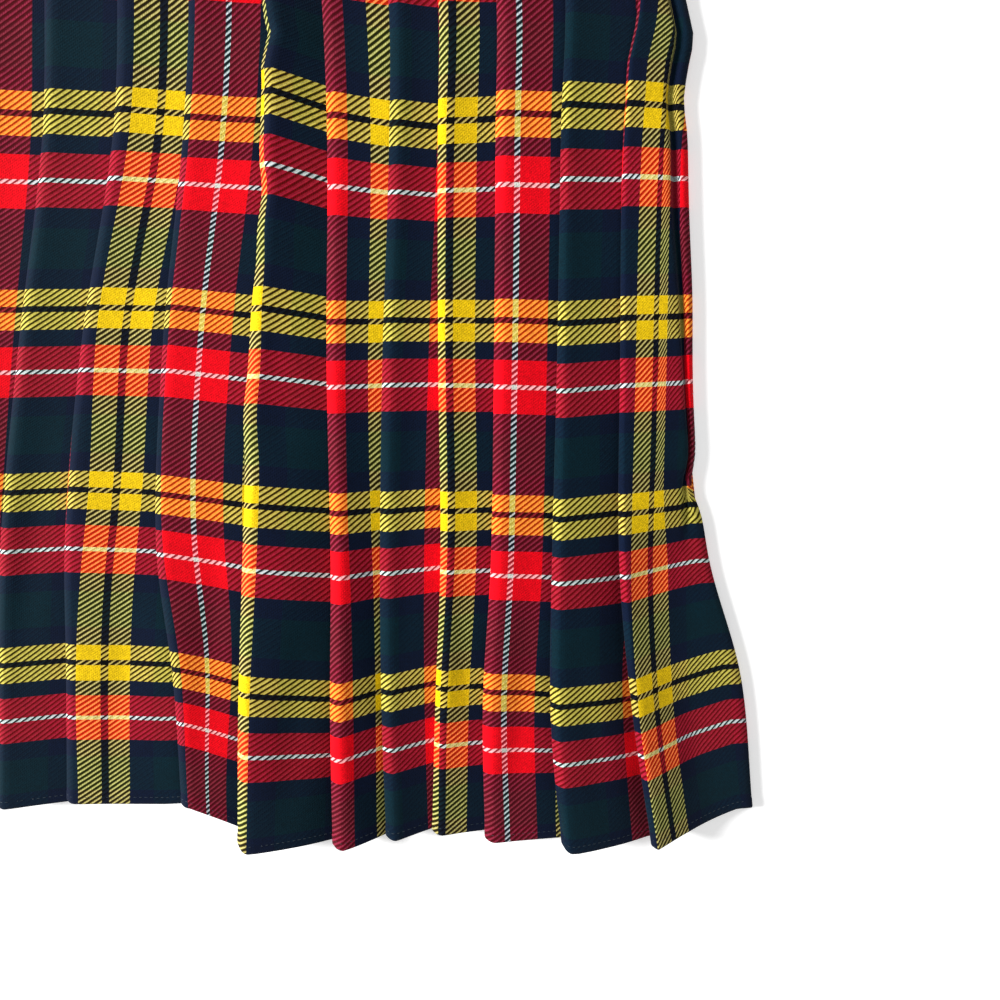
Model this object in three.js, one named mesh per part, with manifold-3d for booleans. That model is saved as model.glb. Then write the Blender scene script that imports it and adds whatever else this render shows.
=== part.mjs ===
import * as THREE from 'three';
import { mergeVertices } from 'three/addons/utils/BufferGeometryUtils.js';
import Module from 'manifold-3d';

// A knife-pleated tartan wrap skirt, laid flat with its pleated back upwards.
// Millimetres: +X to the right of the laid skirt, +Y from the hem to the waist, +Z off the table.

// Cloth and how its layers lie
const CLOTH = 1.2;
const LAYER_GAP = 0.3;
const SEAM_GAP = 0.3;
const OVER_APRON_Z = CLOTH / 2;
const UNDER_APRON_Z = OVER_APRON_Z + CLOTH + LAYER_GAP;
const PLEAT_BASE_Z = UNDER_APRON_Z + CLOTH + 0.4;

// Heights above the hem where the outline and the folds are given, and where the walls have a ring
const STOPS = [0, 90, 180, 300, 420, 500, 570, 660];
const RINGS = [0, 45, 90, 135, 180, 230, 300, 370, 440, 500, 540, 580, 620, 660];
const TOP = STOPS.at(-1);

// Half the width of the laid skirt at each stop
const HALF_WIDTH = [294, 283, 259, 245, 239, 234, 216, 186];

// Knife pleats from left to right. cloth: where the fold lies along the cloth. x: the fold's place at each stop.
// rise: its height at the hem. liftStart, liftEnd: how far the hem is drawn up at the fold and at the face's end.
const PLEAT_COLUMNS = ['cloth', 'x', 'rise', 'liftStart', 'liftEnd'];
const PLEATS = rows(PLEAT_COLUMNS, [
  [140, [-250, -242, -227, -210, -194, -187, -172, -150], 17, 22, 24],
  [222, [-215, -207, -194, -176, -156, -148, -138, -122], 17, 24, 26],
  [304, [-178, -170, -161, -141, -118, -110, -104, -94], 16, 26, 27],
  [386, [-135, -129, -123, -105, -79, -71, -69, -66], 15, 28, 27],
  [476, [-63, -63, -67, -58, -41, -33, -35, -35], 15, 25, 9],
  [549, [-24, -21, -16, -8, 3, 7, 1, -10], 24, 0, 2],
  [635, [30, 32, 36, 36, 39, 39, 32, 20], 20, 1, 5],
  [718, [63, 62, 63, 67, 73, 74, 64, 48], 16, 5, 9],
  [797, [92, 95, 99, 99, 100, 101, 91, 75], 15, 7, 6],
  [882, [125, 124, 129, 131, 132, 132, 121, 104], 15, 6, 3],
  [970, [175, 165, 165, 167, 168, 169, 156, 135], 24, 0, 7],
  [1048, [226, 212, 203, 202, 201, 207, 191, 162], 25, 6, 22],
]);
const PRESSED_RISE = 12.2;
const RISE_FADES_AT = 420;
const LIFT_FADES_AT = 430;
const SIDE_LIFT = 22;

// Bends of the pleats
const HEM_FOLD_RADIUS = 1.6;
const PRESSED_FOLD_RADIUS = 0.9;
const TUCK_RADIUS = 0.9;
const FACE_STEPS = [0.22, 0.48, 0.74];
const BEND_TURNS = [-1, -1 / 3, 1 / 3, 1];

// The side valley beside the last pleat
const VALLEY = { rim: 10, foot: 7, crest: 3.8, rimZ: 8.6, footZ: 4.3, crestZ: 6.6 };
const VALLEY_STARTS = [170, 240];
const VALLEY_ENDS = [520, 600];
const SIDE_FACE_Z = 5.6;
const WAIST_SIDE_FACE_Z = 7.6;
const SIDE_ROOM = 6.5;
const SIDE_ROLL = 3.4;

// Aprons under the pleats
const APRON_TUCK = 8;
const TUCK_GROWS_OVER = 40;
const OVER_EDGE_INSET = 14;
const UNDER_EDGE_INSET = 25;
const APRON_STEPS = 12;

// Waistband: one flattened turn and a half of folded cloth, thicker where it holds the pleats' tops
const BAND = { height: 38, cloth: 1, stuffed: 3.3, overZ: 1, underZ: 3.3, backZ: 7.9, turnZ: 7 };
const BAND_TOP_Z = BAND.backZ + BAND.stuffed;

// Button tab round the right side, and its button
const TAB = { height: 26, half: 1, reach: 62, point: 9, pointSteps: 6, outside: 3.6 };
const BUTTON = { radius: 9, thick: 3.2, rim: 1.6, dish: 1, hole: 1.1, spread: 2.6, sides: 32, inset: 48 };

const COLOURS = { tartan: 0x1f3340, band: 0x2a3440, horn: 0x3a2a1c };

function rows(columns, values) {
  return values.map((row) => Object.fromEntries(columns.map((name, k) => [name, row[k]])));
}

function mix(a, b, t) {
  return a + (b - a) * t;
}

function ease(from, to, at) {
  const t = Math.min(Math.max((at - from) / (to - from), 0), 1);
  return t * t * (3 - 2 * t);
}

// A smooth curve through values given at the stops
function along(values, height) {
  const last = STOPS.length - 1;
  let k = 0;
  while (k < last - 1 && height > STOPS[k + 1]) k += 1;
  const slope = (n) => {
    const low = Math.max(n - 1, 0);
    const high = Math.min(n + 1, last);
    return (values[high] - values[low]) / (STOPS[high] - STOPS[low]);
  };
  const span = STOPS[k + 1] - STOPS[k];
  const t = (height - STOPS[k]) / span;
  const start = (1 + 2 * t) * (1 - t) ** 2 * values[k] + t * (1 - t) ** 2 * span * slope(k);
  const end = t * t * (3 - 2 * t) * values[k + 1] + t * t * (t - 1) * span * slope(k + 1);
  return start + end;
}

// The outer fold of a pleat: high and round at the hem, pressed flat from the hip up
function outerFold(pleat, height) {
  const pressed = ease(0, RISE_FADES_AT, height);
  const top = mix(pleat.rise, PRESSED_RISE, pressed);
  const radius = mix(HEM_FOLD_RADIUS, PRESSED_FOLD_RADIUS, pressed);
  return bend(along(pleat.x, height) + radius, top - radius, radius, -1, pleat.liftStart);
}

// Half a turn of cloth: side -1 opens to the right and runs upwards, side 1 opens to the left
function bend(x, z, radius, side, lift) {
  return BEND_TURNS.map((turn) => {
    const angle = (turn * Math.PI) / 2;
    return { x: x + side * radius * Math.cos(angle), z: z + radius * Math.sin(angle), lift };
  });
}

function face(from, to, liftStart, liftEnd) {
  return FACE_STEPS.map((t) => ({
    x: mix(from.x, to.x, t),
    z: mix(from.z, to.z, t),
    lift: mix(liftStart, liftEnd, Math.min(t * 1.3, 1)),
  }));
}

// Pleat n: its outer fold, its face, and the tuck under the next fold
function pleatPath(n, height) {
  const pleat = PLEATS[n];
  const next = PLEATS[n + 1];
  const x = along(pleat.x, height);
  const nextX = along(next.x, height);
  const room = along(HALF_WIDTH, height) - mix(SIDE_ROOM, VALLEY.rim + 2, valleyDepth(height)) - nextX;
  const depth = Math.min((next.cloth - pleat.cloth - (nextX - x)) / 2, room);
  const fold = outerFold(pleat, height);
  const tuckZ = PLEAT_BASE_Z + TUCK_RADIUS;
  const tuck = bend(nextX + depth - TUCK_RADIUS, tuckZ, TUCK_RADIUS, 1, mix(pleat.liftEnd, next.liftStart, 0.5));
  return [...fold, ...face(fold.at(-1), tuck[0], pleat.liftStart, pleat.liftEnd), ...tuck];
}

// From the seam with the over apron, round the left side, to the tuck under the first fold
function leftSide(height) {
  const edge = -along(HALF_WIDTH, height);
  const first = PLEATS[0];
  const x = along(first.x, height);
  const depth = (x - edge) * 0.6;
  const roll = [
    { x: edge + SIDE_ROLL, z: OVER_APRON_Z },
    { x: edge + SIDE_ROLL - 1.2, z: OVER_APRON_Z },
    { x: edge + 0.9, z: 1.4 },
    { x: edge + 0.6, z: 3 },
    { x: edge + 1.6, z: 4.6 },
    { x: edge + 5, z: SIDE_FACE_Z },
    { x: mix(edge, x, 0.55), z: SIDE_FACE_Z },
  ].map((point) => ({ ...point, lift: SIDE_LIFT }));
  const tuck = bend(x + depth - TUCK_RADIUS, PLEAT_BASE_Z + TUCK_RADIUS, TUCK_RADIUS, 1, first.liftStart);
  return [...roll, ...tuck];
}

// How far the side valley is formed at a height, from 0 to 1
function valleyDepth(height) {
  return ease(...VALLEY_STARTS, height) * (1 - ease(...VALLEY_ENDS, height));
}

// The last pleat's face, the valley beside it, and the right side down to the seam with the under apron
function rightSide(height) {
  const edge = along(HALF_WIDTH, height);
  const pleat = PLEATS.at(-1);
  const x = along(pleat.x, height);
  const deep = valleyDepth(height);
  const fold = outerFold(pleat, height);
  const top = fold.at(-1).z;
  const low = mix(SIDE_FACE_Z, WAIST_SIDE_FACE_Z, ease(...VALLEY_ENDS, height));
  const slope = (t) => mix(top, low, 1 - (1 - t) ** 1.6);
  const open = [0.3, 0.62, 0.85].map((t) => ({ x: mix(x, edge, t), z: slope(t) }));
  const folded = [
    { x: edge - VALLEY.rim, z: VALLEY.rimZ },
    { x: edge - VALLEY.foot, z: VALLEY.footZ },
    { x: edge - VALLEY.crest, z: VALLEY.crestZ },
  ];
  const valley = open.map((point, k) => ({
    x: mix(point.x, folded[k].x, deep),
    z: mix(point.z, folded[k].z, deep),
    lift: mix(pleat.liftStart, SIDE_LIFT, (k + 1) / 3),
  }));
  const roll = [
    { x: edge - 1.5, z: 5.4 },
    { x: edge - 0.6, z: 4.2 },
    { x: edge - 0.9, z: 2.9 },
    { x: edge - SIDE_ROLL + 1.2, z: UNDER_APRON_Z },
    { x: edge - SIDE_ROLL, z: UNDER_APRON_Z },
  ].map((point) => ({ ...point, lift: SIDE_LIFT }));
  return [...fold, ...valley, ...roll];
}

function pleatedPath(height) {
  const pleats = PLEATS.slice(0, -1).flatMap((pleat, n) => pleatPath(n, height));
  return [...leftSide(height), ...pleats, ...rightSide(height)];
}

function hemLift(x) {
  const places = [-HALF_WIDTH[0], ...PLEATS.map((pleat) => pleat.x[0]), HALF_WIDTH[0]];
  const lifts = [SIDE_LIFT, ...PLEATS.map((pleat) => Math.max(pleat.liftStart, pleat.liftEnd)), SIDE_LIFT];
  let k = 0;
  while (k < places.length - 2 && x > places[k + 1]) k += 1;
  const t = Math.min(Math.max((x - places[k]) / (places[k + 1] - places[k]), 0), 1);
  return mix(lifts[k], lifts[k + 1], t);
}

// A flat panel across the skirt at one height, its hem tucked just inside the pleats' hem
function apronPath(z, leftInset, rightInset) {
  return (height) => {
    const edge = along(HALF_WIDTH, height);
    const steps = Array.from({ length: APRON_STEPS + 1 }, (_, k) => k / APRON_STEPS);
    return steps.map((t) => {
      const x = mix(-edge + leftInset, edge - rightInset, t);
      const tuck = APRON_TUCK * Math.min((edge - Math.abs(x) - SIDE_ROLL) / TUCK_GROWS_OVER, 1);
      return { x, z, lift: hemLift(x) + tuck };
    });
  };
}

// The wall's two faces beside a path, square to it
function offset(path, half) {
  return path.map((point, k) => {
    const before = path[Math.max(k - 1, 0)];
    const after = path[Math.min(k + 1, path.length - 1)];
    const a = new THREE.Vector2(point.x - before.x, point.z - before.z).normalize();
    const b = new THREE.Vector2(after.x - point.x, after.z - point.z).normalize();
    const dir = a.clone().add(b).normalize();
    const reach = (point.half ?? half) / Math.max(dir.dot(k === 0 ? b : a), 0.75);
    const shift = { x: -dir.y * reach, z: dir.x * reach };
    return [
      { ...point, x: point.x + shift.x, z: point.z + shift.z },
      { ...point, x: point.x - shift.x, z: point.z - shift.z },
    ];
  });
}

// One closed wall from rings of equal length. Each ring runs along one face and back along the other.
function loft(rings) {
  const count = rings[0].length;
  const positions = rings.flat().flatMap((point) => [point.x, point.y, point.z]);
  const faces = [];
  const quad = (a, b, c, d) => faces.push(a, b, c, a, c, d);
  for (let r = 0; r < rings.length - 1; r += 1) {
    for (let k = 0; k < count; k += 1) {
      const j = (k + 1) % count;
      quad(r * count + k, r * count + j, (r + 1) * count + j, (r + 1) * count + k);
    }
  }
  const half = count / 2;
  const last = (rings.length - 1) * count;
  for (let k = 0; k < half - 1; k += 1) {
    const [a, b, c, d] = [k, k + 1, count - 2 - k, count - 1 - k];
    quad(a, d, c, b);
    quad(last + a, last + b, last + c, last + d);
  }
  const geometry = new THREE.BufferGeometry();
  geometry.setAttribute('position', new THREE.Float32BufferAttribute(positions, 3));
  geometry.setIndex(faces);
  geometry.computeVertexNormals();
  return geometry;
}

function ringAt(path, half, place) {
  const sides = offset(path, half);
  const ring = [...sides.map(([upper]) => upper), ...sides.map(([, lower]) => lower).reverse()];
  return ring.map(place);
}

function clothWall(pathAt) {
  return loft(RINGS.map((height) => {
    const fade = Math.max(0, 1 - height / LIFT_FADES_AT);
    return ringAt(pathAt(height), CLOTH / 2, (point) => ({ ...point, y: height + point.lift * fade }));
  }));
}

function bandPath() {
  const edge = HALF_WIDTH.at(-1);
  const { overZ, underZ, backZ, turnZ, cloth, stuffed } = BAND;
  return [
    [-edge + UNDER_EDGE_INSET, underZ, cloth],
    [edge - 9, underZ, cloth],
    [edge - 3, underZ + 0.3, cloth],
    [edge - 1.2, mix(underZ, turnZ, 0.5), cloth],
    [edge - 3, turnZ, cloth],
    [edge - 9, turnZ + 0.2, cloth * 1.2],
    [edge - 24, backZ, stuffed],
    [-edge + 24, backZ, stuffed],
    [-edge + 9, turnZ + 0.2, cloth * 1.2],
    [-edge + 3, turnZ - 0.8, cloth],
    [-edge + 1.2, mix(overZ, turnZ, 0.5), cloth],
    [-edge + 3, overZ + 0.5, cloth],
    [-edge + 9, overZ, cloth],
    [edge - OVER_EDGE_INSET, overZ, cloth],
  ].map(([x, z, half]) => ({ x, z, half }));
}

function bandWall() {
  const low = TOP + SEAM_GAP;
  return loft([low, low + BAND.height].map((y) => ringAt(bandPath(), BAND.cloth, (point) => ({ ...point, y }))));
}

function tabPath() {
  const edge = HALF_WIDTH.at(-1);
  const topZ = BAND_TOP_Z + LAYER_GAP + TAB.half;
  const side = edge + TAB.outside;
  return [
    { x: edge - OVER_EDGE_INSET + SEAM_GAP, z: BAND.overZ },
    { x: side - 3, z: BAND.overZ },
    { x: side - 0.8, z: BAND.overZ + 1.2 },
    { x: side, z: BAND.overZ + 4 },
    { x: side - 1.2, z: topZ - 2.4 },
    { x: side - 5, z: topZ - 0.2 },
    { x: edge - 9, z: topZ },
    { x: edge - TAB.reach + TAB.point, z: topZ },
  ];
}

// The tab's rings run across its height, so that its end can be rounded
function tabWall() {
  const middle = TOP + SEAM_GAP + BAND.height / 2;
  const steps = Array.from({ length: TAB.pointSteps + 1 }, (_, k) => (2 * k) / TAB.pointSteps - 1);
  return loft(steps.map((t) => {
    const path = tabPath();
    const end = path.at(-1);
    path.push({ x: end.x - TAB.point * Math.sqrt(Math.max(1 - t * t, 0.02)), z: end.z });
    return ringAt(path, TAB.half, (point) => ({ ...point, y: middle + (t * TAB.height) / 2 }));
  }));
}

function solidOf(wasm, geometry) {
  const bare = geometry.clone();
  bare.deleteAttribute('normal');
  bare.deleteAttribute('uv');
  const merged = mergeVertices(bare, 1e-4);
  return new wasm.Manifold(new wasm.Mesh({
    numProp: 3,
    vertProperties: new Float32Array(merged.attributes.position.array),
    triVerts: new Uint32Array(merged.index.array),
  }));
}

function geometryOf(solid) {
  const mesh = solid.getMesh();
  const geometry = new THREE.BufferGeometry();
  geometry.setAttribute('position', new THREE.BufferAttribute(mesh.vertProperties, 3));
  geometry.setIndex(new THREE.BufferAttribute(mesh.triVerts, 1));
  return geometry;
}

// A four-hole button with a raised rim, its back on z = 0
function buttonGeometry(wasm) {
  const { radius, thick, rim, dish, hole, spread, sides } = BUTTON;
  const profile = [
    [0, 0], [radius - 1, 0], [radius, 0.8], [radius, thick - 0.7], [radius - 0.7, thick],
    [radius - rim, thick], [radius - rim - 1, thick - dish], [0, thick - dish],
  ].map(([r, z]) => new THREE.Vector2(r, z));
  const disc = new THREE.LatheGeometry(profile, sides).rotateX(Math.PI / 2);
  let solid = solidOf(wasm, disc);
  for (const [across, up] of [[-1, -1], [1, -1], [1, 1], [-1, 1]]) {
    const drill = new THREE.CylinderGeometry(hole, hole, 4 * thick, 12).rotateX(Math.PI / 2);
    drill.translate((across * spread) / 2, (up * spread) / 2, 0);
    solid = solid.subtract(solidOf(wasm, drill));
  }
  return geometryOf(solid);
}

function named(name, geometry, color, roughness = 0.9) {
  const mesh = new THREE.Mesh(geometry, new THREE.MeshStandardMaterial({ color, roughness, metalness: 0 }));
  mesh.name = name;
  return mesh;
}

const wasm = await Module();
wasm.setup();

const skirt = new THREE.Group();
skirt.add(named('pleated_back', clothWall(pleatedPath), COLOURS.tartan));
skirt.add(named(
  'over_apron',
  clothWall(apronPath(OVER_APRON_Z, SIDE_ROLL + SEAM_GAP, OVER_EDGE_INSET)),
  COLOURS.tartan,
));
skirt.add(named(
  'under_apron',
  clothWall(apronPath(UNDER_APRON_Z, UNDER_EDGE_INSET, SIDE_ROLL + SEAM_GAP)),
  COLOURS.tartan,
));
skirt.add(named('waistband', bandWall(), COLOURS.band));
skirt.add(named('button_tab', tabWall(), COLOURS.band));

const button = named('button', buttonGeometry(wasm), COLOURS.horn, 0.35);
button.position.set(
  HALF_WIDTH.at(-1) - BUTTON.inset,
  TOP + SEAM_GAP + BAND.height / 2,
  BAND_TOP_Z + 2 * (LAYER_GAP + TAB.half),
);
skirt.add(button);

// The origin is under the middle of the laid skirt, on the table
const box = new THREE.Box3().setFromObject(skirt);
const middle = box.getCenter(new THREE.Vector3());
skirt.position.set(-middle.x, -middle.y, -box.min.z);

export default skirt;
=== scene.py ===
"""Looks of a tartan wrap skirt that lies flat with its knife pleats up, built around its fixed frame."""

import logging
import math
from dataclasses import dataclass, field
from enum import Enum
from typing import Sequence

import bmesh
import bpy
import numpy as np
from mathutils import Matrix, Vector

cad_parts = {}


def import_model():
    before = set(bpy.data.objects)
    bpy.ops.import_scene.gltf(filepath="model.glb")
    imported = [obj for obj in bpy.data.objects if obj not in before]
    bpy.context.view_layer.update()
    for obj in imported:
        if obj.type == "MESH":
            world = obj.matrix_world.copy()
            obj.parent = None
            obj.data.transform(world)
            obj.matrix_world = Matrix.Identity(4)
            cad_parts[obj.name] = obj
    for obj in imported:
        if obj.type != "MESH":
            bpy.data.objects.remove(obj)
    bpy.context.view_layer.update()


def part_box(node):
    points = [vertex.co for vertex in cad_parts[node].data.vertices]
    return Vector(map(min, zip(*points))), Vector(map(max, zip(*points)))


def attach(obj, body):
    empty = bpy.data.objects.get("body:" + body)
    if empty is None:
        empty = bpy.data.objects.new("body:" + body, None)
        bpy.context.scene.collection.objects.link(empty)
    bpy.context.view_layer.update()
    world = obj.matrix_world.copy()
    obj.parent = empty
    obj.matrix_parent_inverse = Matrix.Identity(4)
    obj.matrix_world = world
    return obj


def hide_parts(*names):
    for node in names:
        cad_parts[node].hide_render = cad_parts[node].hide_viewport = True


LOG = logging.getLogger("skirt")
MM = 0.001
BODY = "root"
CLOTH_UV = "cloth"
SCREEN_GAMMA = 2.2

# Columns of a cloth path
X, Z, LIFT, WARP, FACE = COLUMNS = range(5)

# Row of an outer fold's leftmost point
NOSE = 2


def mix(a: float, b: float, t: float) -> float:
    """Return the value a share t of the way from a to b."""
    return a + (b - a) * t


def ease(low: float, high: float, at: float) -> float:
    """Return 0 below low, 1 above high, and a smooth step between them."""
    t = min(max((at - low) / (high - low), 0.0), 1.0)
    return t * t * (3 - 2 * t)


def ease_all(low: float, high: float, at: np.ndarray) -> np.ndarray:
    """Return the smooth step of ease for many values."""
    t = np.clip((at - low) / (high - low), 0, 1)
    return t * t * (3 - 2 * t)


def curve(stops: Sequence[float], values: Sequence[float], at: float) -> float:
    """Return a smooth curve through some values.

    Args:
        stops: where each value stands.
        values: the values.
        at: the place that is asked for, held between the first and the last stop.

    Returns:
        The curve's value at that place.
    """
    last = len(stops) - 1
    at = min(max(at, stops[0]), stops[-1])
    k = 0
    while k < last - 1 and at > stops[k + 1]:
        k += 1

    def slope(n: int) -> float:
        """Return the curve's slope at stop n."""
        low, high = max(n - 1, 0), min(n + 1, last)
        return (values[high] - values[low]) / (stops[high] - stops[low])

    span = stops[k + 1] - stops[k]
    t = (at - stops[k]) / span
    start = (1 + 2 * t) * (1 - t) ** 2 * values[k] + t * (1 - t) ** 2 * span * slope(k)
    return start + t * t * (3 - 2 * t) * values[k + 1] + t * t * (t - 1) * span * slope(k + 1)


class Sett:
    """The tartan's repeat: threads of each colour, the same in the warp and the weft."""

    COLOURS: dict[str, tuple[float, float, float]] = {
        "yellow": (0.91, 0.755, 0.08),
        "black": (0.02, 0.02, 0.025),
        "navy": (0.050, 0.095, 0.175),
        "green": (0.02, 0.14, 0.175),
        "red": (0.90, 0.02, 0.11),
        "white": (0.84, 0.86, 0.82),
    }
    STRIPES: tuple[tuple[str, float], ...] = (
        ("yellow", 12),
        ("black", 4),
        ("yellow", 12),
        ("navy", 14),
        ("green", 28),
        ("navy", 14),
        ("red", 16.5),
        ("white", 3),
        ("red", 16.5),
        ("navy", 12),
    )
    THREADS: float = sum(count for _, count in STRIPES)
    WARP_MM: float = 1.0
    WEFT_MM: float = 0.845
    HEM_THREAD: float = 30.0

    @classmethod
    def stops(cls) -> list[tuple[float, tuple[float, float, float]]]:
        """Return where each colour starts, as a share of the repeat, with its colour."""
        found, start = [], 0.0
        for name, count in cls.STRIPES:
            found.append((start / cls.THREADS, cls.COLOURS[name]))
            start += count
        return found


@dataclass(frozen=True)
class Pleat:
    """One knife pleat, in millimetres.

    Args:
        cloth: where its outer fold lies along the cloth.
        x: the fold's place at each stop up the skirt.
        rise: the fold's height at the hem.
        drawn: how far the cloth is drawn up at the fold, at each weft stop.
        drawn_end: the same where the next fold covers it.
        slip: how many threads the stripes slip to the left, at each weft stop.
        gather: how much closer the stripes look where the face slopes away, at the hem and high up.
        corner: how far the fold's own corner curls up at the hem.
        stands: the fold's height where it was pressed.
        soft: how wide and deep the fold's slope is, against the usual one.
        sways: small waves of the fold, each with its height, shift and reach.
    """

    cloth: float
    x: tuple[float, ...]
    rise: float
    drawn: tuple[float, ...]
    drawn_end: tuple[float, ...]
    slip: tuple[float, ...] = (0, 0, 0, 0, 0, 0)
    gather: tuple[float, float] = (0.0, 0.0)
    corner: float = 1.5
    stands: float = 12.2
    soft: float = 1.0
    sways: tuple[tuple[float, float, float], ...] = ()


WEFT_STOPS = (0, 98, 210, 321, 433, 560)
PLEATS = (
    Pleat(140, (-250, -242, -227, -210, -194, -187, -172, -150), 17,
          (22, 17, 11, 6, 0, 0), (24, 19, 12, 6, 0, 0)),
    Pleat(222, (-215, -207, -194, -176, -156, -148, -138, -122), 17,
          (24, 19, 12, 6, 0, 0), (26, 20, 13, 6, 0, 0)),
    Pleat(304, (-178, -170, -161, -141, -118, -110, -104, -94), 16,
          (26, 20, 13, 6, 0, 0), (27, 21, 14, 7, 0, 0)),
    Pleat(386, (-135, -129, -123, -105, -79, -71, -69, -66), 15,
          (29, 22, 15, 7, 1, 0), (25, 18, 12, 7, 0, 0), (0, 1, -3.5, 1, 0, 0)),
    Pleat(476, (-64, -64.5, -69.5, -58.5, -41, -33, -35, -35), 15,
          (26, 17, 12, 7, -3, 0), (4, 3, 5, 3, -3, 0), (-7.5, -6.4, -1.9, -1, -1.5, -1), (0.75, 0.1)),
    Pleat(549, (-28, -23.5, -17, -8, 3, 6, 1, -10), 24,
          (1, 4, 6, 6, 9, 0), (2, -4, 1, 0, 0, 0), (-2.5, -3.5, -4, -1, 4, 3), corner=4.5, stands=16.5,
          sways=((487, 1.5, 9), (464, 4, 10), (436, 0.8, 9), (418, 0.7, 12), (382, 2.8, 14),
                 (348, 1.5, 18), (262, -2, 20))),
    Pleat(635, (30, 31, 34, 35, 39, 38, 32, 20), 20,
          (1, -2, 1, -1, -2, 0), (8, 4, 3, 0, -6, 0), (-2.2, -2, 1.5, 1.5, 1.5, 2)),
    Pleat(718, (63, 62, 63, 67, 73, 74, 64, 48), 16,
          (5, 3, 2, 0, -6, 0), (11, 8, 4, 0, -7, 0)),
    Pleat(797, (92, 95, 99, 99, 100, 101, 91, 75), 15,
          (8, 5, 2, 0, -5, 0), (7, 4, 2, 0, -1, 0), (2, 3, 2, 2.5, 2, 1.5)),
    Pleat(882, (125, 124, 129, 131, 132, 132, 121, 104), 15,
          (3, 3, 0, 0, -1, 0), (2, -2, -2, -1, 0, 0), (-2.5, -1, 0, 0, 0, 0)),
    Pleat(970, (172.5, 165, 165, 167, 168, 169, 156, 135), 24,
          (1, -3, -2, -2, 3, 0), (4, -3, 1, 1, 4, 0), (-6, -6, -3, 0, 0, 0),
          corner=4.5, stands=13.5, soft=0.7),
    Pleat(1048, (227.5, 213.5, 204.5, 203, 202.5, 208.5, 192, 162), 25,
          (5, 3, 1, 1, 4, 0), (21, 16, 5, 3, 4, 0), (3.0, 2.6, -1.8, -3, -4.8, -6), (0.45, 0.28),
          corner=0.5, soft=0.4, sways=((455, -2, 14),)),
)

# Small waves of the right side: height, shift and reach
SIDE_SWAYS = ((471, 3.5, 13), (437, -2, 12), (331, 2, 40), (222, -4.5, 14))


def swayed(sways: Sequence[tuple[float, float, float]], height: float) -> float:
    """Return how far some small waves shift an edge at a height."""
    return sum(shift * math.exp(-(((height - middle) / reach) ** 2)) for middle, shift, reach in sways)


@dataclass(frozen=True)
class Crease:
    """A soft trough or ridge in the cloth, in millimetres from the middle of the hem.

    Args:
        x: its middle across the skirt.
        y: its middle above the hem.
        length: its length.
        width: its width.
        depth: how far it sinks, or rises where negative.
        lean: its direction in degrees from straight up, to the right.
    """

    x: float
    y: float
    length: float
    width: float
    depth: float
    lean: float


CREASES = (
    Crease(-40, 130, 150, 16, 1.2, 6),
    Crease(5, 300, 120, 14, 0.7, -4),
    Crease(10, 80, 120, 18, 1.6, 8),
    Crease(48, 60, 90, 10, 0.8, -6),
    Crease(80, 200, 160, 9, 0.5, 3),
    Crease(112, 120, 130, 10, 0.7, -5),
    Crease(148, 90, 140, 14, 1.1, 7),
    Crease(150, 330, 150, 12, -0.5, 0),
    Crease(190, 70, 120, 13, 1.0, -9),
    Crease(250, 60, 110, 20, 1.8, -16),
    Crease(262, 130, 60, 10, -1.2, -20),
    Crease(-95, 90, 130, 18, 1.2, 10),
    Crease(-150, 150, 170, 16, 1.0, 12),
    Crease(-200, 80, 120, 14, 1.1, 14),
    Crease(-262, 70, 130, 18, 1.4, 17),
    Crease(-230, 260, 140, 12, 0.6, 8),
)


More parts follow.
